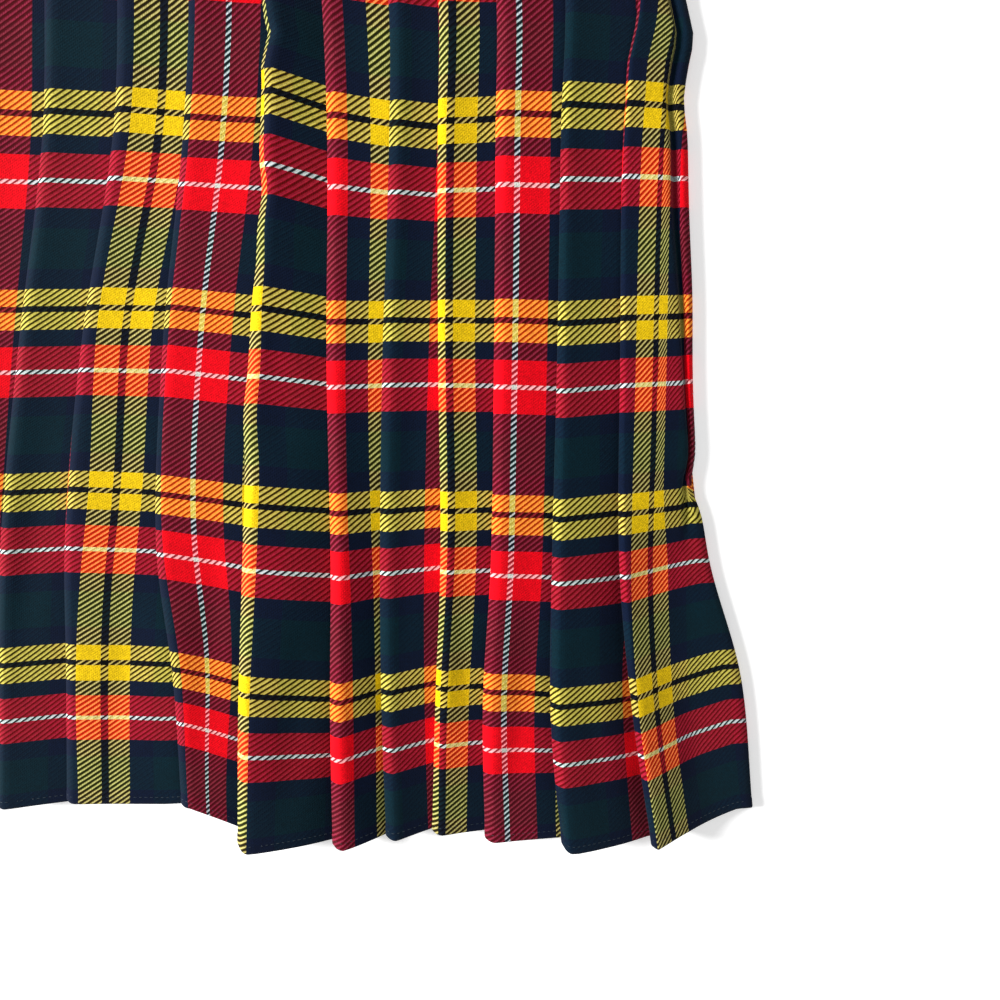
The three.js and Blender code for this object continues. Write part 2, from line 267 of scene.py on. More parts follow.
@dataclass(frozen=True)
class SkirtForm:
    """The form of the pleated cloth as it lies, in millimetres, with y measured up from the hem.

    Args:
        stops: the heights at which half_width and each pleat's x are given.
        half_width: half the laid skirt's width at each stop.
        cloth: the space kept between a face and the tuck beneath it.
        over_z: the middle of the over apron's cloth, above the floor.
        under_z: the same for the under apron.
        base_z: the same for the pleats' lowest cloth.
        pressed_rise: a fold's height above which its cloth counts as loose.
        waist_rise: the folds' height at the seam.
        waist_flattens_over: how far below the seam the folds begin to flatten.
        rise_fades_at: where the folds' height is as pressed.
        lift_fades_at: where the aprons' hem lift has faded.
        side_lift: how far the hem is drawn up at the sides.
        hem_fold_radius: the outer folds' radius at the hem.
        pressed_fold_radius: the same where they were pressed.
        tuck_radius: the tucks' radius.
        fold_drop: how far a fold's nose lies below its crest, without loose cloth.
        drop_of_loose: how much loose cloth adds to that, as a share and at most.
        waist_drop: the same drop at the seam.
        fold_reach: how wide a fold's slope is, without loose cloth.
        reach_of_loose: how much loose cloth adds to that, as a share and at most.
        slope_ends: how far from the fold its steep slope ends.
        slope_fades_over: how far beyond it the extra threads fade.
        corner_fades_at: where a fold's corner curls up no more.
        corner_fades_over: how far from the fold its corner's curl fades.
        drawn_sooner: how much sooner than at its end a face is drawn up, on a pleat and on the last.
        sag: how far a face bulges or sags between its folds, as a share of its fall.
        layer_gap: the space between the middles of two layers.
        hem_layer_gap: the same across the turned hem.
        hem_gap_ends: where one turns into the other.
        side_face_z: the side's height beside its roll.
        waist_side_face_z: the same at the seam.
        side_roll: how far the roll at a side reaches inwards.
        side_room: how far from the right side the last tuck stays.
        valley_starts: where the right side's valley begins to form.
        valley_ends: where it has gone again.
        jump_starts: where the valley begins to hide cloth.
        valley_hidden: how many threads it hides.
        valley_gather: how many threads more each millimetre shows at the valley's rim.
        rim_insets: how far the rim lies inside the side, low and high up.
        rim_widens: where one turns into the other.
        gather_fades_at: where the gather of a pleat's hem has faded.
        gather_reach: how far a gather reaches across the last pleat.
    """

    stops: tuple[float, ...] = (0, 90, 180, 300, 420, 500, 570, 660)
    half_width: tuple[float, ...] = (294, 283, 259, 245, 239, 234, 216, 186)
    cloth: float = 1.2
    over_z: float = 0.6
    under_z: float = 2.1
    base_z: float = 3.7
    pressed_rise: float = 12.2
    waist_rise: float = 10.2
    waist_flattens_over: float = 45
    rise_fades_at: float = 420
    lift_fades_at: float = 430
    side_lift: float = 22
    hem_fold_radius: float = 1.6
    pressed_fold_radius: float = 0.9
    tuck_radius: float = 0.8
    fold_drop: float = 1.6
    drop_of_loose: tuple[float, float] = (0.35, 3.6)
    waist_drop: float = 0.3
    fold_reach: float = 5.5
    reach_of_loose: tuple[float, float] = (0.25, 2.5)
    slope_ends: float = 6.0
    slope_fades_over: float = 12.0
    corner_fades_at: float = 40.0
    corner_fades_over: float = 2.6
    drawn_sooner: tuple[float, float] = (1.3, 1.15)
    sag: float = 0.12
    layer_gap: float = 1.6
    hem_layer_gap: float = 2.1
    hem_gap_ends: tuple[float, float] = (6, 10)
    side_face_z: float = 5.6
    waist_side_face_z: float = 7.6
    side_roll: float = 3.4
    side_room: float = 13
    valley_starts: tuple[float, float] = (170, 240)
    valley_ends: tuple[float, float] = (520, 600)
    jump_starts: tuple[float, float] = (204, 228)
    valley_hidden: float = 46
    valley_gather: float = 1.3
    rim_insets: tuple[float, float] = (7, 13)
    rim_widens: tuple[float, float] = (230, 400)
    gather_fades_at: float = 170
    gather_reach: float = 36

    @property
    def top(self) -> float:
        """Return the height of the seam with the waistband."""
        return self.stops[-1]

    def edge(self, height: float) -> float:
        """Return half the laid skirt's width at a height, as its straight side has it."""
        return curve(self.stops, self.half_width, height)

    def right_edge(self, height: float) -> float:
        """Return where the right side lies at a height."""
        return self.edge(height) + swayed(SIDE_SWAYS, height)

    def fold_x(self, pleat: Pleat, height: float) -> float:
        """Return where a pleat's outer fold lies at a height."""
        return curve(self.stops, pleat.x, height) + swayed(pleat.sways, height)

    def fold_top(self, pleat: Pleat, height: float) -> float:
        """Return how high a pleat's outer fold stands at a height."""
        pressed = mix(pleat.rise, pleat.stands, ease(0, self.rise_fades_at, height))
        return mix(pressed, self.waist_rise, self.waist_share(height))

    def waist_share(self, height: float) -> float:
        """Return how far the folds are flattened towards the seam, from 0 to 1."""
        return ease(self.top - self.waist_flattens_over, self.top, height)

    def fold_radius(self, height: float) -> float:
        """Return the radius of the outer folds at a height."""
        return mix(self.hem_fold_radius, self.pressed_fold_radius, ease(0, self.rise_fades_at, height))

    def valley(self, height: float) -> float:
        """Return how far the valley at the right side is formed, from 0 to 1."""
        return ease(*self.valley_starts, height) * (1 - ease(*self.valley_ends, height))

    def rim_inset(self, height: float) -> float:
        """Return how far the valley's rim lies inside the right side."""
        return mix(*self.rim_insets, ease(*self.rim_widens, height))

    def gather(self, pleat: Pleat, height: float) -> float:
        """Return how much closer a pleat's stripes look where its face slopes away."""
        return mix(*pleat.gather, ease(0, self.gather_fades_at, height))

    def lift_share(self, height: float) -> float:
        """Return the share of the hem's lift that is left at a height."""
        return max(0.0, 1 - height / self.lift_fades_at)

    def drawn(self, pleat: Pleat, height: float) -> float:
        """Return how far the cloth is drawn up at a pleat's fold."""
        return curve(WEFT_STOPS, pleat.drawn, height)

    def drawn_end(self, pleat: Pleat, height: float) -> float:
        """Return how far the cloth is drawn up where the next fold covers a pleat."""
        return curve(WEFT_STOPS, pleat.drawn_end, height)

    def cloth_at(self, pleat: Pleat, height: float) -> float:
        """Return the warp thread at a pleat's fold."""
        return pleat.cloth + curve(WEFT_STOPS, pleat.slip, height)

    @staticmethod
    def bend(x: float, z: float, radius: float, lift: float, steps: int = 5) -> np.ndarray:
        """Return half a turn of cloth that points right and runs upwards.

        Args:
            x: the turn's middle across the skirt.
            z: the turn's middle height.
            radius: its radius.
            lift: the hem's lift there.
            steps: how many points it has.

        Returns:
            Rows of a cloth path.
        """
        angle = np.linspace(-math.pi / 2, math.pi / 2, steps)
        rows = np.zeros((steps, len(COLUMNS)))
        rows[:, X] = x + radius * np.cos(angle)
        rows[:, Z] = z + radius * np.sin(angle)
        rows[:, LIFT] = lift
        return rows

    def tuck(self, tip: float, lift: float) -> np.ndarray:
        """Return a tuck's turn, whose tip is given."""
        return self.bend(tip - self.tuck_radius, self.base_z + self.tuck_radius, self.tuck_radius, lift)

    @staticmethod
    def between(count: int) -> np.ndarray:
        """Return some even shares between 0 and 1, without both ends."""
        return np.linspace(0, 1, count + 2)[1:-1]

    @staticmethod
    def run(points: np.ndarray) -> np.ndarray:
        """Return how far along its path each point lies."""
        return np.concatenate([[0], np.cumsum(np.hypot(*np.diff(points, axis=0).T))])

    def outer_fold(self, pleat: Pleat, height: float) -> np.ndarray:
        """Return a pleat's outer fold: its nose, then the soft slope up to its crest.

        Args:
            pleat: the pleat.
            height: the height above the hem.

        Returns:
            Rows of a cloth path.
        """
        radius = self.fold_radius(height)
        x, top = self.fold_x(pleat, height), self.fold_top(pleat, height)
        loose = max(top - self.pressed_rise, 0.0)
        share_of, most = self.drop_of_loose
        drop = mix(self.fold_drop + min(share_of * loose, most), self.waist_drop, self.waist_share(height))
        drop *= pleat.soft
        share_of, most = self.reach_of_loose
        least = radius + 0.6
        reach = max((self.fold_reach + min(share_of * loose, most)) * pleat.soft, least)
        angle = np.radians([-90, -45, 0, 32, 55])
        nose_z = top - drop - radius + radius * np.sin(angle)
        nose = np.stack([x + radius - radius * np.cos(angle), nose_z], axis=1)
        share = np.linspace(0, 1, 6)[1:]
        slope_z = mix(nose[-1, 1], top, 1 - (1 - share) ** 2)
        slope = np.stack([mix(nose[-1, 0], x + reach, share), slope_z], axis=1)
        rows = np.zeros((len(angle) + len(share), len(COLUMNS)))
        rows[:, [X, Z]] = np.concatenate([nose, slope])
        corner = pleat.corner * max(0.0, 1 - height / self.corner_fades_at)
        corner = corner * np.exp(-(rows[:, X] - x) / self.corner_fades_over)
        rows[:, LIFT] = self.drawn(pleat, height) + corner
        return rows

    def pleat_path(self, n: int, height: float) -> np.ndarray:
        """Return pleat n from its outer fold over its face to the tuck under the next fold.

        Args:
            n: the pleat's number from the left.
            height: the height above the hem.

        Returns:
            Rows of a cloth path, with the warp thread of each point.
        """
        pleat, following = PLEATS[n], PLEATS[n + 1]
        x, next_x = self.fold_x(pleat, height), self.fold_x(following, height)
        cloth, next_cloth = self.cloth_at(pleat, height), self.cloth_at(following, height)
        depth = min((next_cloth - cloth - (next_x - x)) / 2, self.tuck_room(n + 1, height))
        fold, next_fold = self.outer_fold(pleat, height), self.outer_fold(following, height)
        drawn, drawn_end = self.drawn(pleat, height), self.drawn_end(pleat, height)
        tuck_lift = (drawn_end + self.drawn(following, height)) / 2
        tuck = self.tuck(next_x + depth, tuck_lift)
        t = self.between(15)
        face = np.zeros((len(t), len(COLUMNS)))
        face[:, X] = mix(fold[-1, X], tuck[0, X], t)
        covered = (next_x - fold[-1, X]) / (tuck[0, X] - fold[-1, X])
        face[:, Z] = self.face_levels(t, covered, fold[-1, Z], next_fold[0, Z], height)
        face[:, LIFT] = mix(drawn, drawn_end, np.minimum(t * self.drawn_sooner[0], 1))
        back = tuck[-1] + (next_fold[0] - tuck[-1]) * self.between(3)[:, None]
        path = np.concatenate([fold, face, tuck, back])
        self._thread(path, cloth, next_cloth, x, next_x, self.gather(pleat, height))
        shown = np.clip((path[:, X] - x) / (next_x - x), 0, 1)
        path[:, FACE] = np.sin(math.pi * shown) * (np.arange(len(path)) < len(fold) + len(face))
        return path

    def tuck_room(self, n: int, height: float) -> float:
        """Return how far a tuck may reach under pleat n, short of the next fold or the right side.

        Args:
            n: the pleat's number, from the left.
            height: the height above the hem.

        Returns:
            The room to the right of the pleat's fold, in millimetres.
        """
        x = self.fold_x(PLEATS[n], height)
        if n + 1 < len(PLEATS):
            return self.fold_x(PLEATS[n + 1], height) - x - self.tuck_radius
        side = mix(self.side_room, self.rim_inset(height) + 2, self.valley(height))
        return self.right_edge(height) - side - x

    def face_levels(self, t: np.ndarray, covered: float, top: float, roof: float,
                    height: float) -> np.ndarray:
        """Return how high a pleat's face lies on its way down to its tuck.

        Args:
            t: shares of the way from the crest to the tuck.
            covered: the share where the next fold covers the face.
            top: the crest's height.
            roof: the height of the next fold's underside.
            height: the height above the hem.

        Returns:
            The face's height at each share.
        """
        gap = mix(self.hem_layer_gap, self.layer_gap, ease(*self.hem_gap_ends, height))
        floor = self.base_z + 2 * self.tuck_radius + self.cloth
        low = min(max(mix(top, self.base_z, covered), floor), roof - gap)
        all_loose = 9.0
        loose = min(max((top - self.pressed_rise) / all_loose, 0.0), 1.0)
        sag = mix(self.sag, -self.sag, loose) * (1 - self.waist_share(height))
        shown = np.minimum(t / covered, 1)
        hidden = np.clip((t - covered) / (1 - covered), 0, 1)
        levels = mix(top, low, shown + sag * np.sin(math.pi * shown))
        return levels + (self.base_z - low) * hidden

    def shown_threads(self, path: np.ndarray, run: np.ndarray, x: float) -> np.ndarray:
        """Return the threads that lie between a fold and each point, more of them on its steep slope.

        Args:
            path: rows of a cloth path.
            run: the way along the cloth from the fold's edge to each row.
            x: the fold's place.

        Returns:
            A number of threads for each row.
        """
        across = path[:, X] - x
        steep = run - across
        crest = int(np.argmax(across > self.slope_ends))
        beyond = np.clip(across - self.slope_ends, 0, None)
        return across + np.minimum(steep, steep[crest]) * np.exp(-beyond / self.slope_fades_over)

    def _thread(self, path: np.ndarray, start: float, end: float, x: float, next_x: float,
                gather: float) -> None:
        """Number the warp threads of one pleat: even across its face, the rest in its tuck.

        Args:
            path: rows of a cloth path, whose warp column is filled.
            start: the thread at the pleat's fold.
            end: the thread at the next fold.
            x: the fold's place.
            next_x: the next fold's place.
            gather: how much closer the threads look than they lie.
        """
        run = self.run(path[:, [X, Z]])
        run -= run[NOSE]
        crossing = int(np.argmax(path[:, X] >= next_x))
        shown = self.shown_threads(path, run, x) + (path[:, X] - x) * gather
        at_crossing = start + (next_x - x) * (1 + gather)
        share = (run - run[crossing]) / (run[-1] + abs(run[0]) - run[crossing])
        hidden = at_crossing + (end - at_crossing) * np.clip(share, 0, 1)
        order = np.arange(len(path))
        path[:, WARP] = np.where(order < crossing, start + shown, hidden)
        path[:NOSE, WARP] = start + run[:NOSE]

    def left_side(self, height: float) -> np.ndarray:
        """Return the cloth from the seam with the over apron, round the left side, to its tuck.

        Args:
            height: the height above the hem.

        Returns:
            Rows of a cloth path.
        """
        edge, first = -self.edge(height), PLEATS[0]
        x = self.fold_x(first, height)
        depth = (x - edge) * 0.6
        roll = np.array([
            (edge + self.side_roll, self.over_z),
            (edge + self.side_roll - 1.2, self.over_z),
            (edge + 1.3, 0.9),
            (edge + 0.7, 1.8),
            (edge + 0.6, 3.0),
            (edge + 1.0, 4.2),
            (edge + 2.4, 5.2),
            (edge + 5, self.side_face_z),
        ])
        tip = x + depth
        flat = np.linspace(roll[-1, 0], tip - self.tuck_radius, 14)[1:-1]
        sinks_from = 0.45
        shares = [(a - edge) / (tip - edge) for a in flat]
        levels = [mix(self.side_face_z, self.base_z, ease(sinks_from, 1, share)) for share in shares]
        rows = np.zeros((len(roll) + len(flat), len(COLUMNS)))
        rows[:, [X, Z]] = np.concatenate([roll, np.stack([flat, levels], axis=1)])
        rows[:, LIFT] = self.side_lift * self.lift_share(height)
        tuck = self.tuck(tip, self.drawn(first, height))
        start = self.outer_fold(first, height)[0]
        path = np.concatenate([rows, tuck, tuck[-1] + (start - tuck[-1]) * self.between(3)[:, None]])
        run = self.run(path[:, [X, Z]])
        round_the_nose = 2.5
        path[:, WARP] = self.cloth_at(first, height) - (run[-1] + round_the_nose - run) / Sett.WARP_MM
        path[len(roll):len(rows), FACE] = np.sin(np.linspace(0, math.pi, len(flat)))
        return path

    def right_side(self, height: float) -> np.ndarray:
        """Return the last pleat's face, the valley beside it and the roll down to the under apron.

        Args:
            height: the height above the hem.

        Returns:
            Rows of a cloth path.
        """
        edge, pleat = self.right_edge(height), PLEATS[-1]
        x = self.fold_x(pleat, height)
        deep = self.valley(height)
        fold = self.outer_fold(pleat, height)
        top = fold[-1, Z]
        low = mix(self.side_face_z, self.waist_side_face_z, ease(*self.valley_ends, height))
        share = self.between(20)
        free_end, kept_end, steepness = edge - 2.5, edge - 2.2, 1.6
        free_z = mix(top, low, 1 - (1 - share) ** steepness)
        free = np.stack([mix(fold[-1, X], free_end, share), free_z], axis=1)
        inset = self.rim_inset(height)
        rim, foot, crest = edge - inset, edge - 0.7 * inset, edge - 0.38 * inset
        rim_width = 1.2
        stops = [0, 0.55, 0.66, 0.78, 0.90, 1]
        kept_x = np.interp(share, stops, [fold[-1, X], rim, rim + rim_width, foot, crest, kept_end])
        kept_z = np.interp(share, stops, [top, 8.9, 8.2, 4.2, 6.6, 6.2])
        face = np.zeros((len(share), len(COLUMNS)))
        face[:, X] = mix(free[:, 0], kept_x, deep)
        face[:, Z] = mix(free[:, 1], kept_z, deep)
        side_lift = self.drawn_end(pleat, height)
        drawn_over = np.minimum(share * self.drawn_sooner[1], 1)
        face[:, LIFT] = mix(self.drawn(pleat, height), side_lift, drawn_over)
        turn = np.array([
            (edge - 1.2, 5.0 if deep < 1 else 5.4),
            (edge - 0.7, 4.5),
            (edge - 0.6, 3.8),
            (edge - 0.8, 3.0),
            (edge - 1.4, 2.4),
            (edge - self.side_roll + 1.2, self.under_z),
            (edge - self.side_roll, self.under_z),
        ])
        roll = np.zeros((len(turn), len(COLUMNS)))
        roll[:, [X, Z]] = turn
        roll[:, LIFT] = side_lift
        path = np.concatenate([fold, face, roll])
        run = self.run(path[:, [X, Z]])
        last_face = len(fold) + len(face)
        jump = self.valley_hidden * ease(*self.jump_starts, height) * (1 - ease(*self.valley_ends, height))
        cloth = self.cloth_at(pleat, height)
        run -= run[NOSE]
        shown = self.shown_threads(path, run, x)
        from_fold = path[:, X] - x
        gather_from, rim_from, rim_reach = 2, 22, 7
        gathered = np.clip(from_fold - gather_from, 0, self.gather_reach)
        path[:, WARP] = cloth + shown + self.gather(pleat, height) * gathered
        path[:, WARP] += self.valley_gather * deep * np.clip(from_fold - rim_from, 0, rim_reach)
        path[:, WARP] += jump * ease_all(rim + 1, crest - 0.6, path[:, X])
        path[:NOSE, WARP] = cloth + run[:NOSE]
        path[last_face:, WARP] = path[last_face - 1, WARP] + run[last_face:] - run[last_face - 1]
        path[len(fold):last_face, FACE] = np.sin(math.pi * share) * (1 - deep)
        return path

    def path(self, height: float) -> np.ndarray:
        """Return the whole pleated cloth's path at a height, from the left seam to the right one."""
        pleats = [self.pleat_path(n, height) for n in range(len(PLEATS) - 1)]
        path = np.concatenate([self.left_side(height), *pleats, self.right_side(height)])
        path[:, Z] -= self.sink(path[:, X], height) * path[:, FACE]
        return path

    def sink(self, x: np.ndarray, height: float) -> np.ndarray:
        """Return how far the creases sink the cloth at some places across one height.

        Args:
            x: the places.
            height: the height above the hem.

        Returns:
            The depth at each place, in millimetres.
        """
        total = np.zeros(len(x))
        for crease in CREASES:
            lean = math.radians(crease.lean)
            dx, dy = x - crease.x, height - crease.y
            across = (dx * math.cos(lean) - dy * math.sin(lean)) / crease.width
            up = (dx * math.sin(lean) + dy * math.cos(lean)) / crease.length
            total += crease.depth * np.exp(-2.2 * (across**2 + 2 * up**2))
        return total

    def hem_lift(self, x: float) -> float:
        """Return how far the aprons' hem is drawn up at x, where the pleats hide it."""
        width = self.half_width[0]
        places = [-width, *(p.x[0] for p in PLEATS), width]
        lifts = [self.side_lift, *(max(p.drawn[0], p.drawn_end[0]) for p in PLEATS), self.side_lift]
        return float(np.interp(x, places, lifts))


@dataclass(frozen=True)
class Ground:
    """Where the skirt's own millimetres lie in the frame."""

    middle_x: float
    hem_y: float

    @classmethod
    def from_frame(cls, form: SkirtForm) -> "Ground":
        """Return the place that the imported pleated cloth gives."""
        low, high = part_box("pleated_back")
        return cls((low.x + high.x) / 2, high.y - form.top * MM)

    def place(self, points: np.ndarray) -> np.ndarray:
        """Return points in metres in the frame, from points in millimetres above the hem's middle."""
        return points * MM + np.array([self.middle_x, self.hem_y, 0.0])


class Shell:
    """Makes closed cloth walls from paths."""

    @staticmethod
    def sides(path: np.ndarray, half: np.ndarray) -> np.ndarray:
        """Return a ring in the XZ plane: along one face of the wall and back along the other.

        Args:
            path: points (x, z) along the middle of the wall.
            half: half the wall's thickness at each point.

        Returns:
            Twice as many points (x, z).
        """
        step = np.diff(path, axis=0)
        step /= np.maximum(np.linalg.norm(step, axis=1, keepdims=True), 1e-9)
        along = np.concatenate([step[:1], step[:-1] + step[1:], step[-1:]])
        along /= np.maximum(np.linalg.norm(along, axis=1, keepdims=True), 1e-9)
        normal = np.stack([-along[:, 1], along[:, 0]], axis=1) * half[:, None]
        return np.concatenate([path + normal, (path - normal)[::-1]])

    @staticmethod
    def mesh(name: str, rings: np.ndarray, cloth: np.ndarray) -> bpy.types.Object:
        """Return one closed wall.

        Args:
            name: the piece's name.
            rings: points of each ring, in metres in the frame.
            cloth: the warp and weft thread of each point, in repeats.

        Returns:
            The new object, linked to the scene.
        """
        count, around = rings.shape[:2]
        index = np.arange(count * around).reshape(count, around)
        turned = np.roll(index, -1, axis=1)
        walls = np.stack([index[:-1], turned[:-1], turned[1:], index[1:]], axis=-1).reshape(-1, 4)
        half = around // 2
        k = np.arange(half - 1)
        first, last = index[0], index[-1]
        back, after = around - 1 - k, around - 2 - k
        hem = np.stack([first[k], first[back], first[after], first[k + 1]], axis=1)
        top = np.stack([last[k], last[k + 1], last[after], last[back]], axis=1)
        faces = np.concatenate([walls, hem, top])
        data = bpy.data.meshes.new(name)
        data.from_pydata(rings.reshape(-1, 3).tolist(), [], faces.tolist())
        uv = data.uv_layers.new(name=CLOTH_UV)
        corner = np.empty(len(data.loops), dtype=np.int32)
        data.loops.foreach_get("vertex_index", corner)
        uv.data.foreach_set("uv", cloth.reshape(-1, 2)[corner].astype(np.float32).ravel())
        Shell.face_outwards(data)
        data.shade_smooth()
        obj = bpy.data.objects.new(name, data)
        bpy.context.scene.collection.objects.link(obj)
        return obj

    @staticmethod
    def face_outwards(data: bpy.types.Mesh) -> None:
        """Turn a closed mesh's faces outwards.

        Args:
            data: the mesh, which is changed.
        """
        work = bmesh.new()
        work.from_mesh(data)
        if work.calc_volume(signed=True) < 0:
            bmesh.ops.reverse_faces(work, faces=work.faces)
        work.to_mesh(data)
        work.free()


class Wire:
    """A shader value that adds its own Math nodes when it is used in an expression."""

    def __init__(self, graph: "Graph", socket: bpy.types.NodeSocket) -> None:
        """Hold a socket of a graph."""
        self.graph = graph
        self.socket = socket

    def _with(self, operation: str, other: "Wire | float", turned: bool = False) -> "Wire":
        """Return the result of a Math node on this value and another."""
        pair = (other, self) if turned else (self, other)
        return self.graph.math(operation, *pair)

    def __add__(self, other: "Wire | float") -> "Wire":
        """Return the sum."""
        return self._with("ADD", other)

    __radd__ = __add__

    def __sub__(self, other: "Wire | float") -> "Wire":
        """Return the difference."""
        return self._with("SUBTRACT", other)

    def __rsub__(self, other: float) -> "Wire":
        """Return the difference from a number."""
        return self._with("SUBTRACT", other, turned=True)

    def __mul__(self, other: "Wire | float") -> "Wire":
        """Return the product."""
        return self._with("MULTIPLY", other)

    __rmul__ = __mul__

    def fraction(self) -> "Wire":
        """Return the part after the whole number."""
        return self.graph.math("FRACT", self)

    def absolute(self) -> "Wire":
        """Return the size without its sign."""
        return self.graph.math("ABSOLUTE", self)

    def clamped(self) -> "Wire":
        """Return the value held between 0 and 1."""
        low = self.graph.math("MAXIMUM", self, 0.0)
        return self.graph.math("MINIMUM", low, 1.0)


class Graph:
    """A material's nodes."""

    def __init__(self, name: str) -> None:
        """Make an empty material with an output."""
        self.material = bpy.data.materials.new(name)
        self.material.use_nodes = True
        self.tree = self.material.node_tree
        self.tree.nodes.clear()

    def node(self, kind: str, settings: dict | None = None, inputs: dict | None = None) -> bpy.types.Node:
        """Add one node.

        Args:
            kind: the node's type.
            settings: its properties, or "stops" for a colour ramp.
            inputs: a value, a Wire or a socket for each input, by name or number.

        Returns:
            The new node.
        """
        made = self.tree.nodes.new(kind)
        for name, value in (settings or {}).items():
            if name == "stops":
                self._fill_ramp(made.color_ramp, value)
            else:
                setattr(made, name, value)
        for name, value in (inputs or {}).items():
            socket = made.inputs[name]
            if isinstance(value, Wire):
                value = value.socket
            if isinstance(value, bpy.types.NodeSocket):
                self.tree.links.new(value, socket)
            else:
                socket.default_value = value
        return made

    @staticmethod
    def _fill_ramp(ramp: bpy.types.ColorRamp, stops: Sequence[tuple[float, tuple]]) -> None:
        """Give a ramp hard-edged stops.

        Args:
            ramp: the ramp, which is changed.
            stops: each stop's place and its colour.
        """
        ramp.interpolation = "CONSTANT"
        while len(ramp.elements) < len(stops):
            ramp.elements.new(1.0)
        for element, (place, colour) in zip(ramp.elements, stops):
            element.position = place
            element.color = (*colour, 1.0)

    def math(self, operation: str, *values: "Wire | float") -> Wire:
        """Return a Math node's result."""
        made = self.node("ShaderNodeMath", {"operation": operation}, dict(enumerate(values)))
        return Wire(self, made.outputs[0])

    def vector(self, operation: str, *values: object, output: int = 0) -> bpy.types.NodeSocket:
        """Return a Vector Math node's result."""
        made = self.node("ShaderNodeVectorMath", {"operation": operation}, dict(enumerate(values)))
        return made.outputs[output]

    def blend(self, share: "Wire | float", a: object, b: object) -> bpy.types.NodeSocket:
        """Return colour a turned into colour b by a share."""
        made = self.node("ShaderNodeMix", {"data_type": "RGBA"}, {0: share, 6: a, 7: b})
        return made.outputs[2]

    def grey(self, value: Wire) -> bpy.types.NodeSocket:
        """Return a vector with the same number three times."""
        return self.node("ShaderNodeCombineXYZ", {}, {0: value, 1: value, 2: value}).outputs[0]

    def noise(self, coordinates: bpy.types.NodeSocket, scale: float, detail: float = 2.0) -> Wire:
        """Return a noise value from 0 to 1."""
        made = self.node("ShaderNodeTexNoise", {}, {"Vector": coordinates, "Scale": scale, "Detail": detail})
        return Wire(self, made.outputs[0])

    def surface(self, inputs: dict) -> bpy.types.Material:
        """Finish the material with a Principled surface."""
        shader = self.node("ShaderNodeBsdfPrincipled", {}, inputs)
        self.node("ShaderNodeOutputMaterial", {}, {"Surface": shader.outputs[0]})
        return self.material


